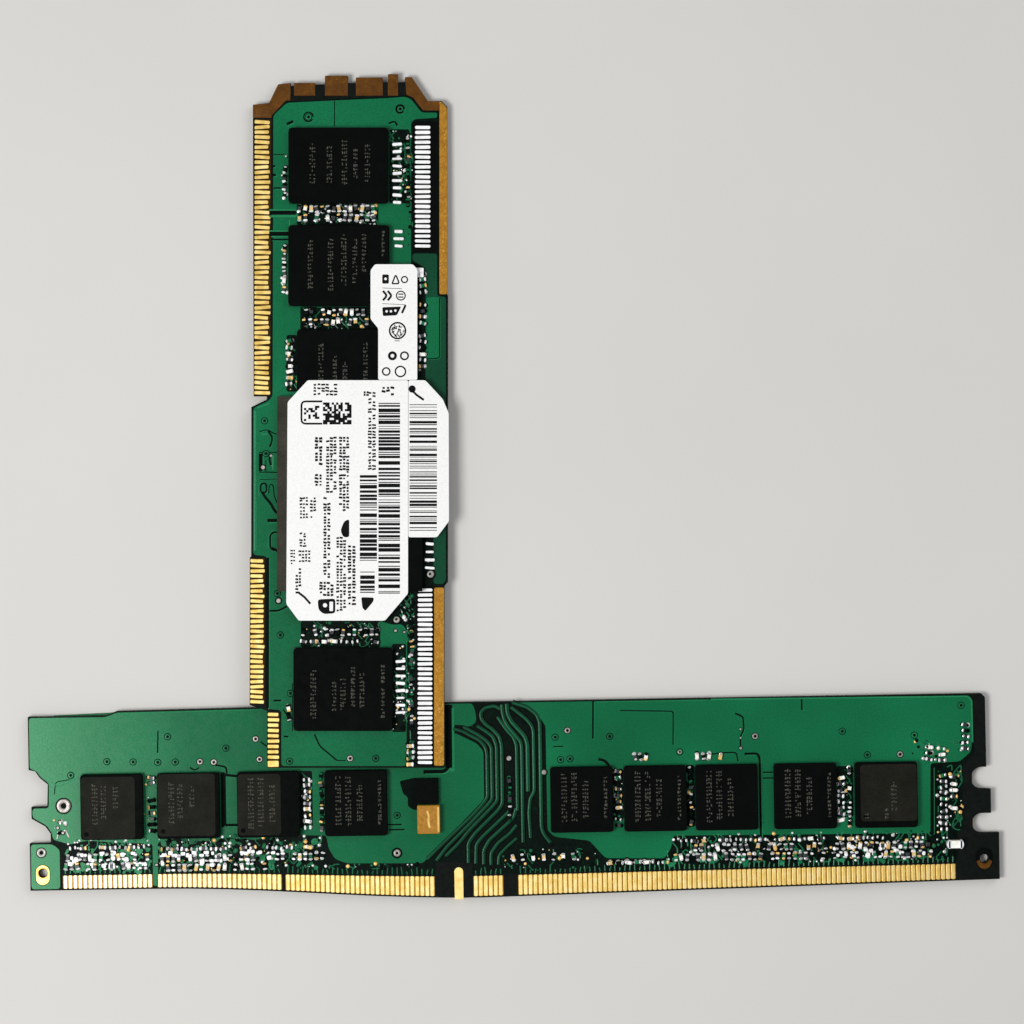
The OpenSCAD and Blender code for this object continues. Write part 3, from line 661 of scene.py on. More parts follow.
def bed(piece, group, along, across, bed_finish):
    """The strip seen between the fingers of one group: darker metal on the lower board, painted shadow on the
    upper.
    """
    margin = 0.06
    sides = []
    for end, sign in ((0, 1), (1, -1)):
        side = []
        for k, box in enumerate(group):
            places = [(box[0][across] + box[1][across]) / 2]
            if k == 0:
                places.insert(0, box[0][across] - margin)
            if k == len(group) - 1:
                places.append(box[1][across] + margin)
            for place in places:
                point = [0.0, 0.0]
                point[across] = place
                point[along] = box[end][along] + sign * margin
                side.append(tuple(point))
        sides.append(side if end == 0 else side[::-1])
    low = group[0][0].z
    piece.plate([sides[0] + sides[1]], (low, low + 0.022), bed_finish)


CORNER_HOLES = ((1.76, 2.4), (131.26, 2.4))
HOLE_RADIUS = 0.66
# The left pad and the opening in the pour round it, as (centre, size, corner); the hole is off its middle
LEFT_PAD = ((1.73, 2.12), (1.86, 2.7), 0.92)
LEFT_PAD_WELL = ((1.73, 2.12), (2.06, 2.9), 1.02)
RIGHT_PAD_SIZE = (2.4, 3.0)
FOOT_START, FOOT_STEP, FOOT_POINTS = 195, 18.75, 9


def corner_pads():
    """The pads round the corner holes: pale gold at the left, black with a brown copper foot at the right."""
    piece = Piece(LOWER, "pads_at_holes", "gold", PAD_GOLD, MASK_BLACK, COPPER_BROWN, GOLD_DULL)
    hole = circle(CORNER_HOLES[0], HOLE_RADIUS, 24)
    piece.plate([rounded_rect(*LEFT_PAD, steps=8), hole], (1.23, 1.29), PAD_GOLD)
    piece.plate([circle(CORNER_HOLES[0], 0.8, 24), hole], (1.28, 1.3), GOLD_DULL)
    x, y = CORNER_HOLES[1]
    hole = circle((x, y), HOLE_RADIUS, 24)
    piece.plate([rounded_rect((x, y), RIGHT_PAD_SIZE, 1.19, steps=8), hole], (1.23, 1.275), MASK_BLACK)
    angles = [math.radians(FOOT_START + k * FOOT_STEP) for k in range(FOOT_POINTS)]
    inner = [(x + math.cos(a) * 0.7, y + math.sin(a) * 0.7) for a in angles]
    outer = [(x + math.cos(a) * 1.12, y + math.sin(a) * 1.12 * 1.3) for a in reversed(angles)]
    piece.plate([inner + outer], (1.26, 1.295), COPPER_BROWN)
    piece.finish("lower_corner_pads")


def rails():
    """The two bare copper rails; the far one bends over at its head."""
    piece = Piece(UPPER, "rails", "rail_copper", COPPER_RAIL)
    for (low, high), bend in zip(UPPER.islands("upper_copper_rails"), (0.15, 0.9)):
        outline = [(low.x, low.y), (high.x, low.y), (high.x, high.y - bend), (high.x - bend * 0.9, high.y),
                   (low.x, high.y)]
        piece.plate([softened(outline, 0.25)], (low.z, high.z))
    piece.finish("upper_copper_rails")


def contacts_and_pads():
    fingers(LOWER, "lower_contacts_front", "contact_fingers", 1, 0.9, 0.03, 501, GOLD, OCHRE)
    for group, wander, seed in (("long", 0.42, 502), ("short", 0.32, 503), ("end", 0.16, 504)):
        node = f"upper_contacts_{group}"
        fingers(UPPER, node, f"{group}_fingers", 0, 0.88, wander, seed, WARM_GOLD, BED_SHADOW)
    white_pads()
    corner_pads()
    rails()


# ---- Packages ----

DRAM_SIZE = (8.6, 9.0)
DRAM_Y = 11.45
DRAM_X = (11.5, 22, 33, 45, 76, 86.1, 95.9, 106.7, 117.8)
CAP_BOTTOM = 1.73


def print_column(piece, centre_x, ends, width, z, source, finish, pitch=0.52, strokes=3, weight=0.15,
                 upright=0.5):
    """A column of generic print: short strokes of chance length and slant that form no letters."""
    at = ends[1] - pitch / 2
    while at > ends[0]:
        for k in range(strokes):
            if source.random() < 0.14:
                continue
            cell = width / strokes
            if source.random() < upright:
                size = (weight, pitch * source.uniform(0.45, 0.8))
            else:
                size = (cell * source.uniform(0.55, 1.0), weight)
            centre = (centre_x - width / 2 + (k + 0.5) * cell, at + source.uniform(-0.06, 0.06))
            piece.mark(centre, size, z, finish, source.uniform(-0.3, 0.3))
        at -= pitch * source.uniform(0.92, 1.1)


def package(board, name, node, centre, size, columns, seed, face=None, corner=0.5):
    """A moulded package: a cap with round corners, a pin mark and columns of faint print.

    face is the box of the paler top face, a painted sheen, as insets from the left, right, bottom and top
    sides; the dark bands it leaves bare beside it are painted shade.
    """
    source = random.Random(seed)
    piece = Piece(board, name, "chip_mould", CAP_BLACK, CAP_SHEEN, FAINT)
    piece.block(centre, size, (CAP_BOTTOM, PACKAGE_TOP - 0.012), corner=corner, edge=0.09, steps=4)
    left, right, bottom, top = face or (0.1, 0.1, 0.1, 0.1)
    face_centre = (centre[0] + (left - right) / 2, centre[1] + (bottom - top) / 2)
    face_size = (size[0] - left - right, size[1] - bottom - top)
    face_z = (PACKAGE_TOP - 0.05, PACKAGE_TOP)
    # A given face is a painted sheen; the black cap left bare beside it is painted shade.
    face_finish = CAP_SHEEN if face else CAP_BLACK
    piece.block(face_centre, face_size, face_z, face_finish, corner=corner, edge=0.02, steps=4)
    mark = (face_centre[0] - face_size[0] / 2 + 0.7, face_centre[1] - face_size[1] / 2 + 0.7)
    piece.turned(mark, [(0.32, PACKAGE_TOP - 0.01), (0.32, PACKAGE_TOP + 0.004), (0.3, PACKAGE_TOP + 0.006)])
    for x, start, end, width in columns:
        print_column(
            piece, centre[0] + x * size[0], (centre[1] + start * size[1], centre[1] + end * size[1]),
            width, PACKAGE_TOP, source, FAINT,
        )
    piece.finish(node)


# Print columns as (place across, start, end, width); places are shares of the package's size
COLUMNS_LEFT = ((-0.27, -0.28, 0.36, 0.85), (-0.13, -0.2, 0.34, 0.8), (0.06, -0.05, 0.32, 0.75))
COLUMNS_PLAIN = ((-0.28, -0.36, 0.42, 0.85), (-0.12, -0.34, 0.42, 0.85), (0.06, -0.3, 0.3, 0.85))
COLUMNS_RIGHT = COLUMNS_PLAIN + ((0.38, -0.32, 0.36, 0.45),)
COLUMNS_LAST = ((0.12, -0.24, 0.22, 0.8), (-0.3, -0.4, -0.26, 0.9), (0, -0.4, -0.2, 0.5))
LOWER_COLUMNS = (
    COLUMNS_LEFT, COLUMNS_LEFT, COLUMNS_PLAIN, COLUMNS_RIGHT, COLUMNS_RIGHT, COLUMNS_RIGHT, COLUMNS_PLAIN,
    COLUMNS_RIGHT, COLUMNS_LAST,
)
# Insets of the paler top faces, by the package's place in the row; the paler face is a painted sheen and the
# dark bands left beside it are painted shade
LOWER_SHEEN_FACES = {
    0: (0.1, 1.1, 0.1, 0.35), 1: (0.1, 0.6, 0.35, 0.1), 2: (0.1, 2.6, 0.3, 0.3), 8: (0.75, 0.1, 0.9, 0.3),
}
UPPER_CHIPS = (
    ("dram_cap_1", "upper_dram_1", (12.17, 83), (13.75, 10.4),
     ((-0.26, -0.27, 0.3, 0.85), (-0.09, -0.26, 0.26, 0.8), (0.06, -0.25, 0.34, 0.8), (0.17, -0.2, 0.22, 0.6),
      (0.29, -0.24, 0.28, 0.8))),
    ("dram_cap_2", "upper_dram_2", (12.22, 69.25), (13.85, 11.1),
     ((-0.28, -0.27, 0.32, 0.75), (-0.08, -0.3, 0.34, 0.8), (0.05, -0.28, 0.4, 0.8), (0.16, -0.22, 0.34, 0.7),
      (0.25, -0.1, 0.4, 0.6), (0.44, 0.12, 0.44, 0.35))),
    ("register_cap", "upper_register_chip", (12.85, 56.1), (12.7, 8.8),
     ((-0.24, -0.36, 0.28, 0.75), (-0.09, -0.36, 0.1, 0.6), (0.02, -0.3, 0.0, 0.7), (0.24, -0.3, 0.3, 0.6))),
    ("dram_cap_3", "upper_dram_3", (12.87, 11.2), (13.6, 11.4),
     ((-0.3, -0.34, 0.24, 0.9), (-0.09, -0.26, 0.1, 0.6), (0.0, -0.26, 0.14, 0.8), (0.1, -0.2, 0.28, 0.6),
      (0.19, -0.2, 0.2, 0.7), (0.4, -0.34, 0.3, 0.5))),
)


def packages():
    for k, x in enumerate(DRAM_X):
        package(LOWER, f"dram_cap_{k + 1}", f"lower_dram_{k + 1}", (x, DRAM_Y), DRAM_SIZE,
                LOWER_COLUMNS[k], 100 + k, LOWER_SHEEN_FACES.get(k))
    for k, (name, node, centre, size, columns) in enumerate(UPPER_CHIPS):
        package(UPPER, name, node, centre, size, columns, 200 + k, corner=0.6)


def small_packages():
    """The serial-presence chip, and the amber capacitor with its pale band and mark."""
    low, high = LOWER.islands("spd_chip")[0]
    chip = Piece(LOWER, "spd_cap", "chip_mould", CAP_BLACK)
    chip.block((low + high) / 2, high - low, (low.z, high.z), corner=0.12, edge=0.08, steps=3)
    mark = (low.x + 0.5, low.y + 0.5)
    chip.turned(mark, [(0.2, high.z - 0.02), (0.2, high.z + 0.004), (0.18, high.z + 0.005)])
    chip.finish("spd_chip")
    low, high = LOWER.islands("tantalum_capacitor")[0]
    centre, size = (low + high) / 2, high - low
    case = Piece(LOWER, "amber_case", "tantalum", AMBER, AMBER_LIGHT)
    case.block(centre, size, (low.z, high.z), corner=0.15, edge=0.1, steps=3)
    band = (high.x - 0.22, centre.y)
    case.block(band, (0.26, size.y - 0.5), (high.z - 0.01, high.z + 0.006), AMBER_LIGHT, corner=0.05,
               edge=0.004)
    smear = [(-0.2, 1.2), (0.05, 0.5), (-0.05, -0.3), (0.15, -1.1)]
    path = bent([(centre.x + x, centre.y + y) for x, y in smear], 0.4)
    case.ribbon(path, 0.3, high.z - 0.004, 0.014, AMBER_LIGHT)
    case.finish("tantalum_capacitor")


def buffer_lid():
    """The dark grey lid of the memory buffer, with a step round its rim."""
    low, high = UPPER.islands("buffer_lid")[0]
    centre, size = (low + high) / 2, high - low
    lid = Piece(UPPER, "lid", "lid", LID_GREY)
    lid.block(centre, size, (low.z, high.z - 0.1), corner=0.25, edge=0.03, steps=3)
    lid.block(centre, (size.x - 0.5, size.y - 0.5), (high.z - 0.14, high.z), corner=0.3, edge=0.06, steps=3)
    lid.finish("buffer_lid")


# ---- Labels ----

LABEL_FACE = 2.515
LABELS = {
    "label_main": [
        (5.25, 50.5), (8, 53.5), (21.75, 53.5), (21.75, 24.3), (18.6, 20.6), (6.8, 20.6), (5.1, 22.9),
    ],
    "label_side": [
        (21.8, 53.5), (24.1, 53.5), (26.5, 50.9), (27.3, 49), (27.35, 34.2), (25.7, 32), (21.8, 32),
    ],
    "label_top": [
        (17.65, 53.55), (17.65, 60.6), (16.6, 61.9), (16.6, 68.6), (17.2, 69.4), (22.4, 69.4), (23, 68.7),
        (23, 53.55),
    ],
}
# Bars of print as (left, right, bottom, top)
MAIN_BARS = ((17.7, 20.65, 24.3, 50.7), (15.15, 17.5, 28.8, 40.5), (15.2, 17.2, 24.4, 27.3))
SIDE_BARS = (21.95, 25.7, 32.9, 50.5)
MAIN_BAR_WIDTHS = (0.1, 0.14, 0.24, 0.34, 0.34, 0.5)
SIDE_BAR_WIDTHS = (0.08, 0.1, 0.1, 0.14, 0.22, 0.34)
BAR_GAPS = (0.1, 0.16, 0.24, 0.4)
# Columns of print as (middle, bottom, top, width, strokes, weight)
MAIN_COLUMNS = (
    (16.8, 41.1, 52, 1.15, 2, 0.24), (9.5, 41.8, 45.8, 1.15, 2, 0.32), (9.5, 38.8, 40.7, 1.1, 2, 0.29),
    (11.25, 38.1, 45.8, 1.5, 3, 0.26), (13, 35.6, 45.8, 1.45, 3, 0.27), (7.5, 34.3, 37.6, 1.2, 3, 0.24),
    (8.75, 34.3, 37.6, 0.9, 2, 0.25), (10.65, 26.5, 37.6, 1.05, 2, 0.27), (12.6, 21.6, 32.6, 1.4, 3, 0.26),
    (14.05, 22.6, 30.9, 1.2, 2, 0.28), (7.35, 30.5, 32.7, 1, 2, 0.23), (6, 28.4, 30.4, 0.7, 2, 0.20),
    (7.6, 28.4, 30.3, 1.7, 4, 0.23), (6.75, 24.2, 27.8, 0.85, 2, 0.26), (10.6, 24, 26, 2, 4, 0.29),
    (10.4, 51.2, 53.1, 3.4, 6, 0.24), (19, 51.6, 52.7, 1.8, 3, 0.31), (16, 51.3, 52.1, 0.8, 2, 0.27),
)
# Squares of random dots on the main label as (box, share filled)
MAIN_DOTS = (((10.1, 14.05, 47.45, 50.7), 0.58), ((7.5, 9.9, 47.9, 50.3), 0.36))
DOT_CELL = 0.3


def ring(centre, radius, width):
    """A plain ring: its outline and the hole in it."""
    return [circle(centre, radius, 28), circle(centre, radius - width, 28)]


# Lines of plain print as (path, width), and filled shapes whose outlines after the first are holes
MAIN_STROKES = (
    (bent([(10, 50.6), (7.15, 50.6), (7.15, 47.55), (10, 47.55)], 0.6), 0.26),
    ([(6.7, 24.5), (7.6, 23.8), (8.4, 22.9)], 0.3),
)
MAIN_SHAPES = (
    [softened([(15.35, 23.8), (17.1, 23.75), (17, 23.2), (15.9, 21.9), (15.5, 22.4)], 0.25)],
    [softened([(9.4, 23.5), (11.8, 23.6), (11.8, 21.6), (10.2, 21.5), (9.5, 22.1)], 0.4),
     circle((10.4, 22.7), 0.3, 10), box_outline(11, 21.9, 11.5, 23.2, 0.1)],
    [softened([(12.5, 32.9), (13, 34.2), (13.7, 34.5), (13.7, 32), (12.9, 32)], 0.4)],
)
SIDE_STROKES = (([(22.3, 52.1), (22.9, 51.5), (23.9, 50.8)], 0.3),)
SIDE_SHAPES = ([circle((22.3, 52.3), 0.5, 14)],)
TOP_STROKES = (
    (bent([(19.55, 66.75), (20.05, 68), (20.55, 66.75), (19.55, 66.75)], 0.3), 0.2),
    ([(18.2, 66.15), (20.9, 66.05)], 0.07),
    (bent([(18.3, 65.75), (18.85, 65.1), (18.3, 64.45)], 0.3), 0.3),
    (bent([(18.95, 65.75), (19.5, 65.1), (18.95, 64.45)], 0.3), 0.3),
    ([(18.2, 64), (21.4, 63.85)], 0.07), ([(21.4, 63.8), (20.9, 62.7)], 0.3),
    ([(19.9, 58.9), (20.6, 58.9)], 0.1),
)
BADGE = (20.3, 60.3)
BADGE_MARKS = 46
TOP_SHAPES = (
    ring((21.25, 67.3), 0.5, 0.18), ring((20.75, 65.1), 0.68, 0.16), ring((19.6, 56.85), 0.62, 0.36),
    ring((21.25, 56.85), 0.62, 0.22), ring((18.75, 54.7), 0.6, 0.2), ring((20.7, 54.7), 0.8, 0.2),
    ring(BADGE, 1.2, 0.22), [box_outline(18.2, 66.75, 19.1, 68, 0.15), circle((18.65, 67.4), 0.2, 8)],
    [softened([(18.2, 63.5), (20.8, 63.6), (20.2, 62.4), (18.3, 62.3)], 0.2),
     circle((18.8, 62.95), 0.18, 8), circle((19.4, 62.95), 0.18, 8), circle((20, 63.05), 0.18, 8)],
)
# The two dashes in the second ring
TOP_DASHES = ((20.75, 65.3), (20.75, 64.9))


def bars(piece, box, source, widths):
    """A run of printed bars of chance thickness, like a code that reads as nothing."""
    left, right, bottom, top = box
    at = bottom
    while at < top - 0.1:
        thick = min(source.choice(widths), top - at)
        piece.mark(((left + right) / 2, at + thick / 2), (right - left, thick), LABEL_FACE, INK)
        at += thick + source.choice(BAR_GAPS)


def dots(piece, box, fill, source):
    """A patch of square dots at random."""
    left, right, bottom, top = box
    for row in range(int((top - bottom) / DOT_CELL)):
        for column in range(int((right - left) / DOT_CELL)):
            if source.random() < fill:
                centre = (left + (column + 0.5) * DOT_CELL, bottom + (row + 0.5) * DOT_CELL)
                piece.mark(centre, (DOT_CELL * 1.04, DOT_CELL * 1.04), LABEL_FACE, INK)


def plain_print(piece, strokes, shapes):
    for path, width in strokes:
        piece.ribbon(path, width, LABEL_FACE, PRINT, INK)
    for outlines in shapes:
        piece.plate(outlines, (LABEL_FACE, LABEL_FACE + PRINT), INK)


def print_main(piece, source):
    for box in MAIN_BARS:
        bars(piece, box, source, MAIN_BAR_WIDTHS)
    for middle, bottom, top, width, strokes, weight in MAIN_COLUMNS:
        ends = (bottom, top)
        print_column(piece, middle, ends, width, LABEL_FACE, source, INK, 0.43, strokes, weight, 0.12)
    for box, fill in MAIN_DOTS:
        dots(piece, box, fill, source)
    plain_print(piece, MAIN_STROKES, MAIN_SHAPES)


def print_side(piece, source):
    bars(piece, SIDE_BARS, source, SIDE_BAR_WIDTHS)
    plain_print(piece, SIDE_STROKES, SIDE_SHAPES)


def print_top(piece, source):
    """Plain symbols, and a round badge filled with loose marks."""
    plain_print(piece, TOP_STROKES, TOP_SHAPES)
    for place in TOP_DASHES:
        piece.mark(place, (0.7, 0.16), LABEL_FACE, INK)
    for _ in range(BADGE_MARKS):
        angle = source.uniform(0, 2 * math.pi)
        reach = 0.85 * math.sqrt(source.random())
        place = (BADGE[0] + reach * math.cos(angle), BADGE[1] + reach * math.sin(angle))
        piece.mark(place, (source.uniform(0.12, 0.34), 0.14), LABEL_FACE, INK, source.uniform(0, 3))


def labels():
    """Paper labels with generic print: bars, dots and strokes that form no letters."""
    source = random.Random(601)
    for (node, outline), add_print in zip(LABELS.items(), (print_main, print_side, print_top)):
        piece = Piece(UPPER, node, "label", PAPER, INK)
        piece.plate([softened(outline, 0.25)], (PACKAGE_TOP, LABEL_FACE))
        add_print(piece, source)
        piece.finish(node)


# ---- Chip capacitors and resistors ----

# Zones as (left, bottom, right, top): columns of long pale parts, and columns of parts that stay dark
BAR_ZONES = {
    "upper": ((19.4, 77, 21.0, 88), (19.4, 71, 21.4, 75), (19.4, 7, 21.4, 16), (24.0, 27, 25.5, 32)),
    "lower": (),
}
DIM_ZONES = {
    "upper": ((21.3, 76, 22.4, 88), (21.5, 6, 22.9, 21)),
    "lower": ((16.3, 7, 17.5, 16), (39.7, 7, 40.7, 16), (65.5, 8, 66.8, 16), (90.3, 7, 91.8, 16)),
}
# Parts left of this have wider ends, and mostly white ones on the lower board
WIDE_ENDS_STOP = 42
# A part longer than this along the board is the bulk capacitor
BULK_LENGTH = 2
# Finishes to choose from; a finish that comes twice is chosen twice as often
CAPACITOR_BODIES = (CREAM, TAN, RESISTOR_BLACK, RESISTOR_BLACK, LINE_DARK, BOARD_DARK, TRACK_GREEN)
RESISTOR_BODIES = (RESISTOR_BLACK, RESISTOR_BLACK, BOARD_DARK)
DIM_BODIES = (RESISTOR_BLACK, BOARD_DARK, LINE_DARK)
DIM_ENDS = (LINE_DARK, BOARD_DARK, TRACK_GREEN, TRACK_GREEN, LINE_DARK, SOLDER, SPECK_GOLD)
WHITE_ENDS = (TIN_WHITE,) * 6 + (SOLDER, SPECK_GOLD)
MIXED_ENDS = (TIN_WHITE,) * 3 + (SOLDER,) * 3 + (SPECK_GOLD, LINE_DARK)


def inside(point, zones):
    return any(left < point.x < right and bottom < point.y < top for left, bottom, right, top in zones)


def chip_part(piece, box, source, kind, board):
    """A chip part: a body between two plated ends that wrap it, each on a blob of solder."""
    low, high = box
    size = high - low
    centre = (low + high) / 2
    if inside(centre, BAR_ZONES[board]):
        bar = (size.x * source.uniform(1.1, 1.45), size.y * source.uniform(0.5, 0.75))
        piece.block(centre, bar, (low.z, high.z), TIN_WHITE, corner=0.15, edge=0.08,
                    turn=source.uniform(-0.1, 0.1))
        return
    dim = inside(centre, DIM_ZONES[board])
    lengthwise = 0 if size.x > size.y else 1
    cap = size[lengthwise] * source.uniform(0.24, 0.33)
    turn = source.uniform(-0.26, 0.26)
    centre += Vector((source.uniform(-0.07, 0.07), source.uniform(-0.07, 0.07), 0.0))
    tone = source.choice(CAPACITOR_BODIES if kind == "capacitor" else RESISTOR_BODIES)
    if dim:
        tone = source.choice(DIM_BODIES)
    bulk = size.x > BULK_LENGTH
    if bulk:
        tone, turn = CREAM, 0.0
    body = list(size)
    body[lengthwise] -= cap
    body[1 - lengthwise] *= 0.8
    piece.block(centre, body, (low.z + 0.03, high.z - 0.06), tone, corner=0.05, edge=0.03, turn=turn)
    for side in (-1, 1):
        end = Vector((0.0, 0.0))
        end[lengthwise] = side * (size[lengthwise] - cap) / 2
        end.rotate(Matrix.Rotation(turn, 2))
        shape = list(size)
        shape[lengthwise] = cap
        shape[1 - lengthwise] *= source.uniform(0.68, 0.95) * (1.12 if centre.x < WIDE_ENDS_STOP else 1)
        place = (centre.x + end.x, centre.y + end.y)
        if dim:
            plating = source.choice(DIM_ENDS)
        elif board == "lower" and centre.x < WIDE_ENDS_STOP:
            plating = source.choice(WHITE_ENDS)
        else:
            plating = source.choice(MIXED_ENDS)
        corner = 0.45 if bulk else 0.16
        piece.block(place, shape, (low.z, high.z), plating, corner=corner, edge=0.08, turn=turn)
        blob = source.uniform(0.26, 0.36)
        spot = (place[0] + source.uniform(-0.06, 0.06), place[1] + source.uniform(-0.06, 0.06))
        solder = source.choice((TRACK_GREEN if dim else SOLDER, LINE_DARK, LINE_DARK))
        piece.dome(spot, blob, low.z, size.z * 0.3, solder, steps=8)


def chip_parts():
    finishes = (CREAM, TAN, RESISTOR_BLACK, TIN_WHITE, SOLDER, BOARD_DARK, SPECK_GOLD, LINE_DARK, TRACK_GREEN)
    for board, seed in ((LOWER, 301), (UPPER, 302)):
        for kind, slot in (("capacitor", "ceramic"), ("resistor", "resistor")):
            source = random.Random(seed)
            node = f"{board.name}_{kind}s"
            piece = Piece(board, f"chip_{kind}s", slot, *finishes)
            for box in board.islands(node):
                chip_part(piece, box, source, kind, board.name)
            piece.finish(node)


# ---- Vias and rings ----

# Height along the upper board of the one via that is ringed with green only
OPEN_VIA_Y = 48.3


def vias():
    """A plugged via is a moat, a raised ring and a dark plug; some of the rings are silver."""
    for board, seed in ((LOWER, 401), (UPPER, 402)):
        source = random.Random(seed)
        piece = Piece(board, "via_rings", "via_plug", LINE_DARK, TRACK_GREEN, SILVER, MASK_BLACK)
        node = board.name + "_vias"
        for low, high in board.islands(node):
            centre = (low + high) / 2
            metal = SILVER if source.random() < 0.4 else TRACK_GREEN
            if board is UPPER and abs(centre.y - OPEN_VIA_Y) < 1:
                metal = TRACK_GREEN
            piece.turned(centre, [(0.5, FRONT), (0.5, FRONT + 0.022), (0.48, FRONT + 0.024)], LINE_DARK)
            rim = [(0.4, FRONT), (0.4, FRONT + 0.03), (0.34, FRONT + 0.045), (0.26, FRONT + 0.04)]
            piece.turned(centre, rim, metal)
            piece.turned(centre, [(0.2, FRONT), (0.2, FRONT + 0.046), (0.17, FRONT + 0.048)], MASK_BLACK)
        piece.finish(node)


def test_rings():
    """The bare plated rings at the left end."""
    piece = Piece(LOWER, "plated_rings", "ring_plating", SILVER, MASK_BLACK)
    for low, high in LOWER.islands("lower_test_rings"):
        centre = (low + high) / 2
        radius = (high.x - low.x) / 2
        top = FRONT + 0.02
        piece.turned(centre, [(radius, FRONT - 0.04), (radius, top), (radius - 0.08, top + 0.03),
                              (radius * 0.55, top + 0.02), (radius * 0.42, top - 0.03)], SILVER, MASK_BLACK)
    piece.finish("lower_test_rings")


# ---- Tracks ----

# The tracks of the bundle as (path, width), from the left one to the right one
TRACKS = (
    ([(58.5, 21.4), (59.9, 20.95), (60.8, 20.4), (62, 19.8), (62.8, 18.9), (63.05, 18), (63.05, 11.9),
      (62.4, 11), (60.6, 9.1), (58.2, 6.9), (56.6, 5.4), (54.6, 3.5)], 0.4),
    ([(59.9, 21.6), (61.9, 20.5), (63, 19.7), (63.7, 18.8), (63.7, 11.6), (62.9, 10.7), (60.6, 8.3),
      (57.4, 5.2), (55.9, 3.3)], 0.42),
    ([(61.8, 21.7), (62.9, 21), (63.95, 20.2), (64.4, 18.9), (64.4, 11.4), (63.6, 10.5), (60.4, 7.3),
      (59, 5.6), (57.2, 3.9)], 0.42),
    ([(65, 24), (64.2, 24.45), (62.9, 24.2), (62.3, 23.6), (62.3, 22.8), (62.9, 21.9), (63.8, 21.3),
      (64.8, 20.2), (65.1, 18.9), (65.1, 11), (64.5, 10.1), (61.2, 6.9), (60.3, 5.6), (60.3, 2.9)], 0.44),
    ([(66.3, 10.6), (66, 9.9), (62.2, 6.4), (61.4, 5.4), (61.3, 2.8)], 0.42),
    ([(66.95, 10.3), (66.6, 9), (63.2, 6), (62.4, 4.6), (62.4, 2.7)], 0.42),
    ([(67, 8), (66.1, 6.9), (64.4, 5.6), (63.4, 4.2), (63.4, 2.6)], 0.4),
    ([(67, 6.2), (65.6, 5), (64.5, 3.9), (64.4, 2.6)], 0.36),
    ([(64.6, 22.9), (65, 22.3), (65.9, 21), (66.8, 20), (67.15, 18.9), (67.15, 10)], 0.4),
    ([(65.2, 24.6), (65.3, 23.3), (65.6, 22.3), (66.2, 21.3), (67, 20.4), (67.75, 19.4), (67.85, 18.6),
      (67.85, 5.6)], 0.42),
    ([(65.9, 24.7), (65.95, 23.4), (66.5, 22.2), (67.6, 21), (68.3, 20.2), (68.65, 19.1), (68.65, 12.6)],
      0.52),
    ([(66.5, 24.2), (67.4, 23.5), (68.6, 22.5), (69.3, 21.6), (69.5, 20.8), (69.5, 12.6), (68.9, 11.6),
      (68.7, 9.6), (68.9, 6.2)], 0.4),
    ([(66.7, 24.85), (68.7, 24.2), (69.95, 23.2), (70.4, 22.1), (70.4, 7.7), (70.7, 6.7), (71.6, 5.5)], 0.46),
)
TRACK_BEND = 0.45


def track_bundle():
    """The bundle: each track is a dim ridge, painted shade, with a paler crest toward the light, a painted
    highlight, on a wider black band of painted shadow.
    """
    piece = Piece(LOWER, "tracks", "tracks", TRACK_GREEN, TRACK_SHADED, TRACK_SHADOW_BLACK)
    for path, width in TRACKS:
        curve = bent(path, TRACK_BEND)
        # Painted highlight: the paler crest is moved toward the light.
        crest = [(x - width * 0.18, y) for x, y in curve]
        piece.ribbon(curve, width + 0.34, FRONT, 0.018, TRACK_SHADOW_BLACK)
        piece.ribbon(curve, width + 0.06, FRONT + 0.012, 0.032, TRACK_SHADED)
        piece.ribbon(crest, width * 0.3, FRONT + 0.036, 0.022, TRACK_GREEN)
    piece.finish("lower_track_bundle")


# ---- Copper pours ----

POUR = (FRONT, FRONT + 0.014)
POUR_CORNER = 0.45


# Openings round the two bare plated rings as (centre, radius)
LARGE_RING_WELL = ((4.75, 11.6), 1.15)
SMALL_RING_WELL = ((1.6, 5.2), 0.75)
LEFT_POUR = [
    (0.16, 23.75), (0.16, 16.75), (1.05, 16.5), (1.65, 15.6), (2.78, 14.75), (2.7, 11.3), (0.45, 11.3),
    (0.45, 10.05), (2.38, 8.95), (3.08, 7.9), (3.2, 7), (4.2, 6.7), (5.6, 6.3), (8, 6.8), (11, 6.5),
    (15.1, 6.3), (16.9, 6.2), (16.9, 0.4), (17.6, 0.4), (17.6, 6.4), (20.2, 6.9), (24, 6.4), (27.5, 6.9),
    (31, 6.5), (34.5, 7.2), (39.3, 7), (40.8, 7), (41.1, 5.2), (42, 3.7), (43.6, 3.1), (54, 2.95),
    (62.6, 11.6), (62.6, 18.2), (61.7, 19.3), (60.4, 19.95), (58.9, 20.7), (57.9, 20.9), (57.9, 21.9),
    (59.6, 21.9), (60.8, 21.6), (61.7, 22.3), (61.6, 23.6), (61.2, 24.82), (57, 24.82), (12.2, 24.32),
    (10.7, 23.72),
]
CORNER_POUR = [(0.16, 6.35), (3.1, 6.35), (4.1, 5.6), (4.1, 0.2), (0.16, 0.2)]
RIGHT_POUR = [
    (67.4, 24.85), (70.3, 22.9), (71.2, 21.6), (71.25, 7.2), (72.2, 6.3), (77, 5.7), (78.4, 4.1),
    (79.2, 3.25), (87.3, 3.1), (88.2, 4.5), (88.5, 6.2), (123.9, 6), (124.05, 15.6), (128.1, 15.8),
    (129.7, 17.2), (130, 24.2), (129.5, 24.85), (98, 24.85),
]
LOWER_DARK_WELLS = ((37.2, 8.0, 39.0, 15.9),)
RIGHT_DARK_WELLS = ((80.3, 8.6, 81.8, 15.5), (90.4, 7.4, 91.6, 15.9), (111.0, 8.4, 113.4, 15.4))

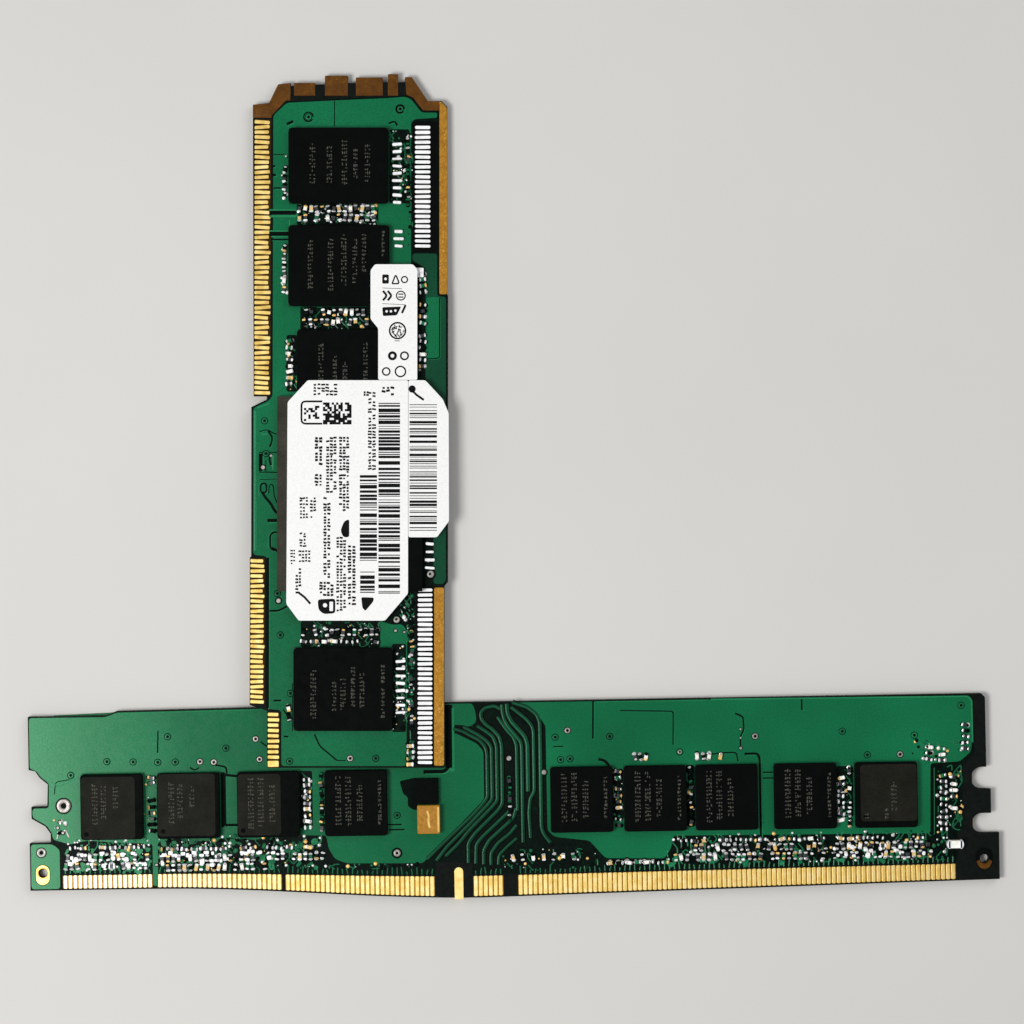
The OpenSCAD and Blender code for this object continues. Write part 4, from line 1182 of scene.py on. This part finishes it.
UPPER_POUR = [
    (3.15, 90), (5, 91.75), (12, 92.1), (19, 92.4), (21.3, 92.6), (22.15, 92.2), (23.55, 90.4), (25.7, 90.4),
    (25.7, 89.7), (22.6, 89.5), (22.1, 89), (22.1, 71.4), (22.1, 54.5), (22.1, 32), (17.9, 26), (17.9, 20.5),
    (19.6, 20), (20.9, 20.1), (21.6, 19.2), (21.5, 0.65), (4.35, 0.65), (4.35, 8.3), (2.65, 8.45),
    (2.35, 9.2), (2.35, 29.4), (0.45, 29.6), (0.45, 49.75), (2.5, 50.7), (3.1, 51.4),
]
UPPER_DARK_WELLS = (
    (6.4, 74.9, 17.6, 77.9), (19.1, 77.9, 21.9, 88.1), (6.9, 60.4, 21.9, 63.7), (7, 16.9, 17.9, 20.6),
    (19.5, 5.3, 21.45, 17.4), (5, 52, 6.5, 59.8),
)
UPPER_DIM_POUR = [
    (22.3, 71), (25.7, 71), (25.7, 65.1), (26.9, 65.1), (26.9, 26.1), (26.5, 25.6), (25.2, 25.6), (25.2, 33),
    (24.1, 34), (24.1, 69), (22.3, 70),
]
PALE_BOX = (24.2, 56.5, 26.0, 65.0)


def pours():
    """The mask is raised and paler where copper is poured under it, with wells where the board stays dark."""
    piece = Piece(LOWER, "copper_pour", "solder_mask", POUR_GREEN)
    wells = [box_outline(*well) for well in LOWER_DARK_WELLS]
    piece.plate([softened(LEFT_POUR, POUR_CORNER), circle(*LARGE_RING_WELL)] + wells, POUR)
    pad_well = rounded_rect(*LEFT_PAD_WELL, steps=6)
    piece.plate([softened(CORNER_POUR, POUR_CORNER), circle(*SMALL_RING_WELL), pad_well], POUR)
    piece.plate([softened(RIGHT_POUR, POUR_CORNER)] + [box_outline(*well) for well in RIGHT_DARK_WELLS], POUR)
    piece.finish()
    piece = Piece(UPPER, "copper_pour", "solder_mask", POUR_GREEN, POUR_DIM)
    piece.plate([softened(UPPER_POUR, POUR_CORNER)] + [box_outline(*well) for well in UPPER_DARK_WELLS], POUR)
    piece.plate([softened(UPPER_DIM_POUR, POUR_CORNER)], POUR, POUR_DIM)
    piece.plate([box_outline(*PALE_BOX)], (POUR[1], POUR[1] + 0.006), POUR_GREEN)
    piece.finish()


# ---- Small surface details ----

SURFACE = POUR[1]


def closed_path(outline):
    return outline + outline[:1]


# Dark lines and pale ridges as (path, width), and outlines of dark patches; most dark lines are etched, the
# pale ridges are painted highlights, and a few dark lines and a patch are painted shadow
LOWER_LINES = (
    ([(77.8, 24.9), (77.7, 19.7)], 0.2), ([(81.5, 23.5), (88.8, 23.3), (88.7, 18.7)], 0.14),
    ([(106.5, 24.8), (106.5, 23.2)], 0.2), ([(124.4, 15.1), (124.3, 5.9)], 0.2),
    ([(17.9, 21.7), (17.8, 18.7)], 0.16), ([(98.5, 17.3), (100.3, 17.3), (100.6, 16.6), (100.6, 5.9)], 0.26),
    ([(101, 14.7), (102.4, 14.7)], 0.16), ([(101, 13.9), (102.4, 13.9)], 0.16),
    ([(97.3, 22.9), (98.4, 22.4), (98.5, 20.6), (98, 19.8), (98, 18.1)], 0.18),
    ([(78.4, 16.9), (79.4, 16.6), (80.3, 15.2)], 0.3), ([(72.2, 18.7), (73.6, 18.7)], 0.14),
    ([(49.2, 8.3), (51.2, 8.3)], 0.18), ([(49.4, 7.6), (51.6, 7.6)], 0.18),
    # Painted shadow of the upper board: the wide line along its right side and the line under its end.
    ([(57.85, 16), (57.9, 24.7)], 0.8), ([(54.3, 15.5), (57.2, 15.5), (57.8, 16.2)], 0.4),
    ([(92.9, 17.2), (95.9, 17.5), (97.4, 17.5), (97.6, 16.3)], 0.16), ([(113.5, 14.6), (112, 15.1)], 0.22),
    ([(3.5, 13.2), (3.7, 14.9), (5.6, 15.2)], 0.1), ([(27, 15.5), (28.7, 15.3)], 0.3),
    ([(27, 8.6), (28.7, 8.6)], 0.3), ([(25.7, 16.9), (27.2, 16.6), (27.3, 15.6)], 0.2),
    ([(32, 20), (33.4, 18.9), (33.6, 17.8)], 0.14), ([(22.2, 16.6), (22.9, 16.2), (23.5, 16.6)], 0.16),
)
LOWER_PATCHES = (
    [(51, 14.3), (53.4, 14.8), (53.5, 10.3), (52.9, 10.3), (52.1, 10.8), (52.1, 12.1), (51.5, 12.5),
      (51.2, 13.5)],
    # Painted shadow: the dark strip on the right side of the second package.
    [(26.4, 15.9), (27.1, 15.9), (27.1, 8.6), (26.4, 8.2)],
)
UPPER_LINES = (
    ([(11.6, 88.5), (11.6, 92)], 0.12), ([(2.6, 76.6), (6.3, 76.6)], 0.5), ([(2.6, 73.7), (6.3, 73.7)], 0.5),
    ([(2.9, 72.9), (6.2, 72.9)], 0.2), ([(2.7, 21.9), (3.9, 21.9), (5.1, 22.5)], 0.22),
    ([(8.9, 5), (9.6, 3.4), (12, 1.4)], 0.16), ([(2.4, 34.3), (3.9, 34.3)], 0.36),
    ([(1.5, 43.5), (1.5, 41.1)], 0.45), ([(1.3, 43.65), (3.8, 43.65)], 0.12),
    ([(1.3, 40.95), (3.8, 40.9)], 0.14), ([(2.75, 43.4), (2.7, 42.6), (2.9, 41.9)], 0.24),
    ([(2.2, 41), (2.2, 42.6)], 0.1), (closed_path(rounded_rect((1.9, 38.75), (0.8, 1.3), 0.4, steps=4)), 0.2),
    ([(2.62, 38), (2.65, 39), (2.95, 39.35), (3.25, 39), (3.35, 37.6), (3.9, 36.4)], 0.13),
    ([(1.3, 46.5), (2.4, 46.8), (3.2, 46.3), (3.8, 46.1)], 0.12),
    ([(2.5, 46.6), (3.1, 45.7), (2.95, 44.9), (2.7, 44.4)], 0.2), ([(1.35, 39.9), (3.8, 40)], 0.08),
    ([(1.7, 38.2), (2.1, 37.5), (2.9, 36.6), (3.35, 35.7), (3.9, 35.2)], 0.28),
    (closed_path(rounded_rect((3.55, 31.45), (1.5, 2.5), 0.7, steps=4)), 0.2),
    ([(3, 30.5), (3.9, 30.1)], 0.3), ([(3.2, 80), (4.6, 80)], 0.18), ([(2.5, 8.6), (2.5, 29.2)], 0.28),
    ([(3.2, 84.6), (4.9, 84.6)], 0.12), ([(4.6, 8.4), (5.6, 7)], 0.14),
    ([(26.05, 64.8), (26.05, 56.6), (24.4, 56.5)], 0.14), ([(12, 1.4), (13.2, 1.4)], 0.12),
    (circle((8, 89.8), 0.66, 12), 0.16), (circle((20.6, 90.9), 0.6, 9), 0.16),
    ([(3.3, 9.6), (4.3, 9.6)], 0.22), ([(4.7, 4.7), (5.3, 4.65)], 0.2), ([(5.9, 5.4), (5.9, 12)], 0.1),
    ([(3, 81.8), (3.5, 81.8)], 0.3), ([(3, 83), (3.4, 83)], 0.25),
    ([(19, 88.9), (19.9, 89.2), (20.2, 88.6)], 0.2), ([(5, 88.8), (5.9, 89.2)], 0.3),
)
# Painted highlights along the upper board's left edge and beside its relief lines.
UPPER_RIDGES = (
    ([(0.72, 30.2), (0.72, 49.4)], 0.3), ([(1, 49.8), (2.7, 50.4)], 0.2), ([(2.4, 33.95), (3.5, 33.95)], 0.1),
    ([(1.6, 39.85), (1.25, 39.3), (1.15, 38.4), (1.4, 37.6)], 0.1),
    ([(2.55, 30.6), (2.5, 32), (2.9, 32.85), (3.7, 32.9)], 0.12), ([(1.6, 46.15), (2.4, 46.2)], 0.2),
    ([(3.2, 43.3), (3.2, 41.3)], 0.3), ([(0.8, 30.6), (0.8, 37)], 0.3), ([(2.6, 77), (6.3, 77)], 0.22),
    ([(2.6, 76.1), (6.3, 76.1)], 0.22), ([(2.6, 74.1), (5.4, 74.1), (5.4, 75.6)], 0.22),
)
# Painted highlights along the lower board's top and right edges, and beside the line by the large ring.
LOWER_RIDGES = (
    ([(94, 24.85), (129.3, 24.72), (129.85, 24.2), (129.9, 18.4)], 0.22), ([(12.4, 24.2), (57, 24.72)], 0.14),
    ([(78.3, 24.75), (93.5, 24.8)], 0.12), ([(3.1, 14.9), (4.2, 14.2), (6.4, 15.4)], 0.16),
)
# Silver dots as (x, y, radius)
LOWER_DOTS = (
    (50.5, 4.4, 0.5), (79.8, 2.75, 0.3), (80.9, 2.7, 0.34), (82.1, 2.75, 0.4), (83.3, 2.7, 0.32),
    (84.5, 2.7, 0.38), (85.7, 2.75, 0.3), (98, 20.7, 0.16), (98, 19.5, 0.14), (98, 18.1, 0.2),
    (66.1, 17.2, 0.34), (70.9, 15.2, 0.34), (89.6, 17.7, 0.3), (4.2, 9.4, 0.22), (3.9, 8.6, 0.2),
    (4.6, 7.9, 0.22), (5, 9, 0.16), (114.2, 9.4, 0.2), (29.5, 4.3, 0.3), (17.4, 3.3, 0.2),
)
UPPER_DOTS = (
    (1.8, 41.6, 0.3), (3.96, 23.3, 0.34), (24.8, 26.95, 0.5), (20.15, 20.7, 0.45), (20, 19.2, 0.2),
    (21.2, 19, 0.18), (2.9, 43.2, 0.2), (24.5, 28.8, 0.24), (23.3, 55, 0.2),
)
# Zones strewn with solder, as (left, bottom, right, top, count)
LOWER_STREWN = (
    (5.2, 2.6, 16.4, 7, 150), (17.8, 2.5, 34.2, 7.3, 230), (34.6, 2.5, 40.2, 7, 70), (40.6, 2.3, 54, 3, 40),
    (64.8, 1.7, 78.2, 4.6, 60), (87.6, 2.3, 126.2, 6.4, 420), (124.9, 6.4, 128.4, 15.4, 90),
    (14.9, 8.5, 16.6, 15, 26), (37.3, 8.2, 38.9, 15.8, 30), (80.4, 8.8, 81.7, 15.3, 30),
    (90.5, 7.6, 91.5, 15.7, 26), (111.1, 8.6, 113.3, 15.2, 40), (121.6, 16, 128.8, 18.8, 50),
    (3.3, 7, 5.4, 9.8, 20),
)
UPPER_STREWN = (
    (6.5, 75, 17.5, 77.8, 90), (19.2, 78, 21.8, 88, 90), (7, 60.5, 16.4, 63.6, 90),
    (7.1, 17, 17.8, 20.4, 100), (19.6, 5.4, 21.4, 17.3, 50), (5.1, 52.1, 6.4, 59.7, 24),
    (21.5, 0.9, 22.6, 20, 70), (4.3, 79, 5.1, 85, 20), (4.3, 65.5, 5.1, 73, 20), (21.6, 72, 22.3, 88, 40),
    (20.6, 20.6, 22.5, 25.4, 50),
)


# Crooked runs of bare solder as (path, width)
SOLDER_RUNS = (
    ([(4.4, 9.8), (4.9, 9)], 0.22), ([(5, 8.3), (5.4, 7.3)], 0.24), ([(4, 8), (3.8, 7.1)], 0.26),
)
# Zones with squat pale blocks of solder between the chip parts
PALE_ZONES = ((5.4, 3.1, 16.1, 5.2, 28), (18.2, 3.1, 33.6, 5.0, 30), (110, 2.9, 124, 4.6, 20))
# Zones with loose patches of green
GREEN_ZONES = ((5, 2.4, 16.6, 6.4, 46), (17.8, 2.4, 40, 6.6, 80), (88, 2.2, 124, 2.8, 30))
# The white block beside the narrow label as (centre, size, z)
WHITE_BLOCK = ((23.2, 68.35), (1.3, 1.3), (FRONT, FRONT + 0.5))
LINE_BEND = 0.4
SOLDER_FINISHES = (TIN_WHITE, SOLDER, SPECK_GOLD, TRACK_GREEN, LINE_DARK, SILVER, POUR_GREEN, POUR_LIGHT)


def lines_and_ridges(board, lines, ridges, patches):
    """Dark lines, each with a pale lip beside it as a painted highlight; pale ridges, also painted
    highlights; and dark patches. A few of the dark lines and patches are painted shadow.
    """
    piece = Piece(board, "lines_and_ridges", "tracks", LINE_DARK, POUR_LIGHT)
    for path, width in lines:
        curve = bent(path, LINE_BEND)
        # Painted highlight: a pale lip beside each line, offset to the lower right.
        lip = [(x + width * 0.6, y - width * 0.6) for x, y in curve]
        piece.ribbon(lip, width * 0.7, SURFACE - 0.004, 0.012, POUR_LIGHT)
        piece.ribbon(curve, width * 1.35, SURFACE - 0.002, 0.014)
    for outline in patches:
        piece.plate([softened(outline, 0.3)], (SURFACE - 0.006, SURFACE + 0.004))
    # Painted highlights: the pale ridges along edges and relief.
    for path, width in ridges:
        piece.ribbon(bent(path, LINE_BEND), width, SURFACE - 0.004, 0.03, POUR_LIGHT)
    piece.finish()


def scattered(zones, source, share=1):
    """Random places in each zone, as many as a share of its count."""
    for left, bottom, right, top, count in zones:
        for _ in range(int(count * share)):
            yield source.uniform(left, right), source.uniform(bottom, top)


def strewn(piece, zones, source):
    """Blobs of solder of chance size, and green and dark ones among them."""
    finishes = (
        TIN_WHITE, SOLDER, SOLDER, SPECK_GOLD, TRACK_GREEN, TRACK_GREEN, LINE_DARK, LINE_DARK, LINE_DARK,
    )
    for centre in scattered(zones, source, 0.6):
        radius = source.choice((0.08, 0.1, 0.13, 0.17, 0.22, 0.3))
        piece.dome(centre, radius, FRONT, radius * 0.6, source.choice(finishes), steps=7)


def moated_dots(piece, places):
    """Silver dots, each in a dark moat."""
    for x, y, radius in places:
        moat = ((1.5, FRONT), (1.5, SURFACE + 0.004), (1.35, SURFACE + 0.008))
        dot = ((1, FRONT), (1, SURFACE + 0.02), (0.7, SURFACE + 0.05), (0.45, SURFACE + 0.03))
        for profile, finish in ((moat, LINE_DARK), (dot, SILVER)):
            piece.turned((x, y), [(radius * share, z) for share, z in profile], finish, steps=16)


def green_runs(piece, zones, source):
    """Short tracks that wander through the crowded zones."""
    for left, bottom, right, top, count in zones:
        for _ in range(count // 6):
            x, y = source.uniform(left, right), source.uniform(bottom, top)
            path = [(x, y)]
            for _ in range(3):
                x = min(max(x + source.choice((-0.7, 0, 0, 0.7)), left), right)
                y = min(max(y + source.choice((-0.8, 0.8)), bottom), top)
                if (x, y) != path[-1]:
                    path.append((x, y))
            if len(path) > 1:
                piece.ribbon(bent(path, 0.3, steps=2), 0.16, FRONT, 0.03, TRACK_GREEN)


def green_patches(piece, source):
    """Loose flat patches of green, turned at random."""
    for centre in scattered(GREEN_ZONES, source):
        size = (source.uniform(0.3, 1.1), source.uniform(0.3, 1.0))
        outline = rounded_rect(centre, size, min(size) * 0.45, source.uniform(0, 3))
        low = FRONT + source.uniform(0, 0.004)
        finish = source.choice((POUR_GREEN, POUR_GREEN, TRACK_GREEN, POUR_LIGHT))
        piece.plate([outline], (low, low + 0.012), finish)


def contact_stubs(piece, source):
    """The short track that leaves each contact of the lower board."""
    for low, high in LOWER.islands("lower_contacts_front"):
        x = (low.x + high.x) / 2
        lean = source.uniform(-0.15, 0.15)
        path = [(x, high.y + 0.2), (x, high.y + 0.4), (x + lean, high.y + source.uniform(0.6, 1.3))]
        piece.ribbon(path, 0.18, FRONT - 0.03, 0.05, TRACK_GREEN)


def pale_blocks(piece, source):
    """Squat blocks of solder, for the white clumps between the chip parts."""
    for centre in scattered(PALE_ZONES, source):
        size = (source.uniform(0.4, 0.75), source.uniform(0.4, 0.6))
        z = (FRONT, FRONT + source.uniform(0.34, 0.44))
        turn = source.uniform(-0.15, 0.15)
        piece.block(centre, size, z, TIN_WHITE, corner=0.14, edge=0.06, turn=turn)


def surface_details():
    lines_and_ridges(LOWER, LOWER_LINES, LOWER_RIDGES, LOWER_PATCHES)
    piece = Piece(LOWER, "strewn_solder", "solder", *SOLDER_FINISHES)
    source = random.Random(701)
    strewn(piece, LOWER_STREWN, source)
    moated_dots(piece, LOWER_DOTS)
    green_runs(piece, LOWER_STREWN, source)
    green_patches(piece, source)
    for path, width in SOLDER_RUNS:
        piece.ribbon(bent(path, 0.3), width, SURFACE, 0.05, SILVER)
    contact_stubs(piece, source)
    pale_blocks(piece, source)
    piece.finish()

    lines_and_ridges(UPPER, UPPER_LINES, UPPER_RIDGES, ())
    piece = Piece(UPPER, "strewn_solder", "solder", *SOLDER_FINISHES)
    source = random.Random(702)
    strewn(piece, UPPER_STREWN, source)
    moated_dots(piece, UPPER_DOTS)
    green_runs(piece, UPPER_STREWN, source)
    piece.block(*WHITE_BLOCK, corner=0.1, edge=0.05)
    piece.finish()


# ---- Camera, light and floor ----

VIEW_WIDTH = 140.85
VIEW_CENTRE = (67.05, 51.06)
CAMERA_DISTANCE = 420
CAMERA_ROLL = -0.0157
# Lights as (name, place from the camera's target, size, power)
LIGHTS = (("key", (-236, -84, 430), 170, 1.75), ("fill", (260, 200, 330), 320, 0.45))
FLOOR_HALF = 6


def camera_and_light():
    scene = bpy.context.scene
    scene.view_settings.view_transform = "Standard"
    target = LOWER.matrix @ Vector((VIEW_CENTRE[0], VIEW_CENTRE[1], FRONT))
    camera = bpy.data.objects.new("camera", bpy.data.cameras.new("camera"))
    camera.data.lens = camera.data.sensor_width * CAMERA_DISTANCE / VIEW_WIDTH
    camera.data.clip_start = 10 * MM
    camera.location = target + Vector((0, 0, CAMERA_DISTANCE * MM))
    camera.rotation_euler = (0, 0, CAMERA_ROLL)
    scene.collection.objects.link(camera)
    scene.camera = camera

    world = bpy.data.worlds.new("studio")
    world.use_nodes = True
    world.node_tree.nodes["Background"].inputs["Color"].default_value = (0.9, 0.93, 1.0, 1)
    world.node_tree.nodes["Background"].inputs["Strength"].default_value = 0.42
    scene.world = world
    for name, place, size, energy in LIGHTS:
        light = bpy.data.objects.new(name, bpy.data.lights.new(name, "AREA"))
        light.data.energy = energy
        light.data.size = size * MM
        light.location = target + Vector(place) * MM
        light.rotation_euler = (target - light.location).to_track_quat("-Z", "Y").to_euler()
        scene.collection.objects.link(light)


def floor():
    """A plain pale floor, six metres to each side, a little below the boards."""
    finish = Finish("pale_floor", roughness=0.8, specular=0.2)
    finish.colour(finish.mottle((0.02, 3.0), (0.3, "#cdcac4"), (0.7, "#d0cdc7")))
    mesh = bpy.data.meshes.new("floor")
    corners = [(x * FLOOR_HALF, y * FLOOR_HALF, 0) for x, y in ((-1, -1), (1, -1), (1, 1), (-1, 1))]
    mesh.from_pydata(corners, [], [(0, 1, 2, 3)])
    mesh.materials.append(finish.material)
    stage = bpy.data.objects.new("floor", mesh)
    stage.location.z = -0.02 * MM
    bpy.context.scene.collection.objects.link(stage)


dress_boards()
contacts_and_pads()
packages()
small_packages()
buffer_lid()
labels()
chip_parts()
vias()
test_rings()
track_bundle()
pours()
surface_details()
camera_and_light()
floor()
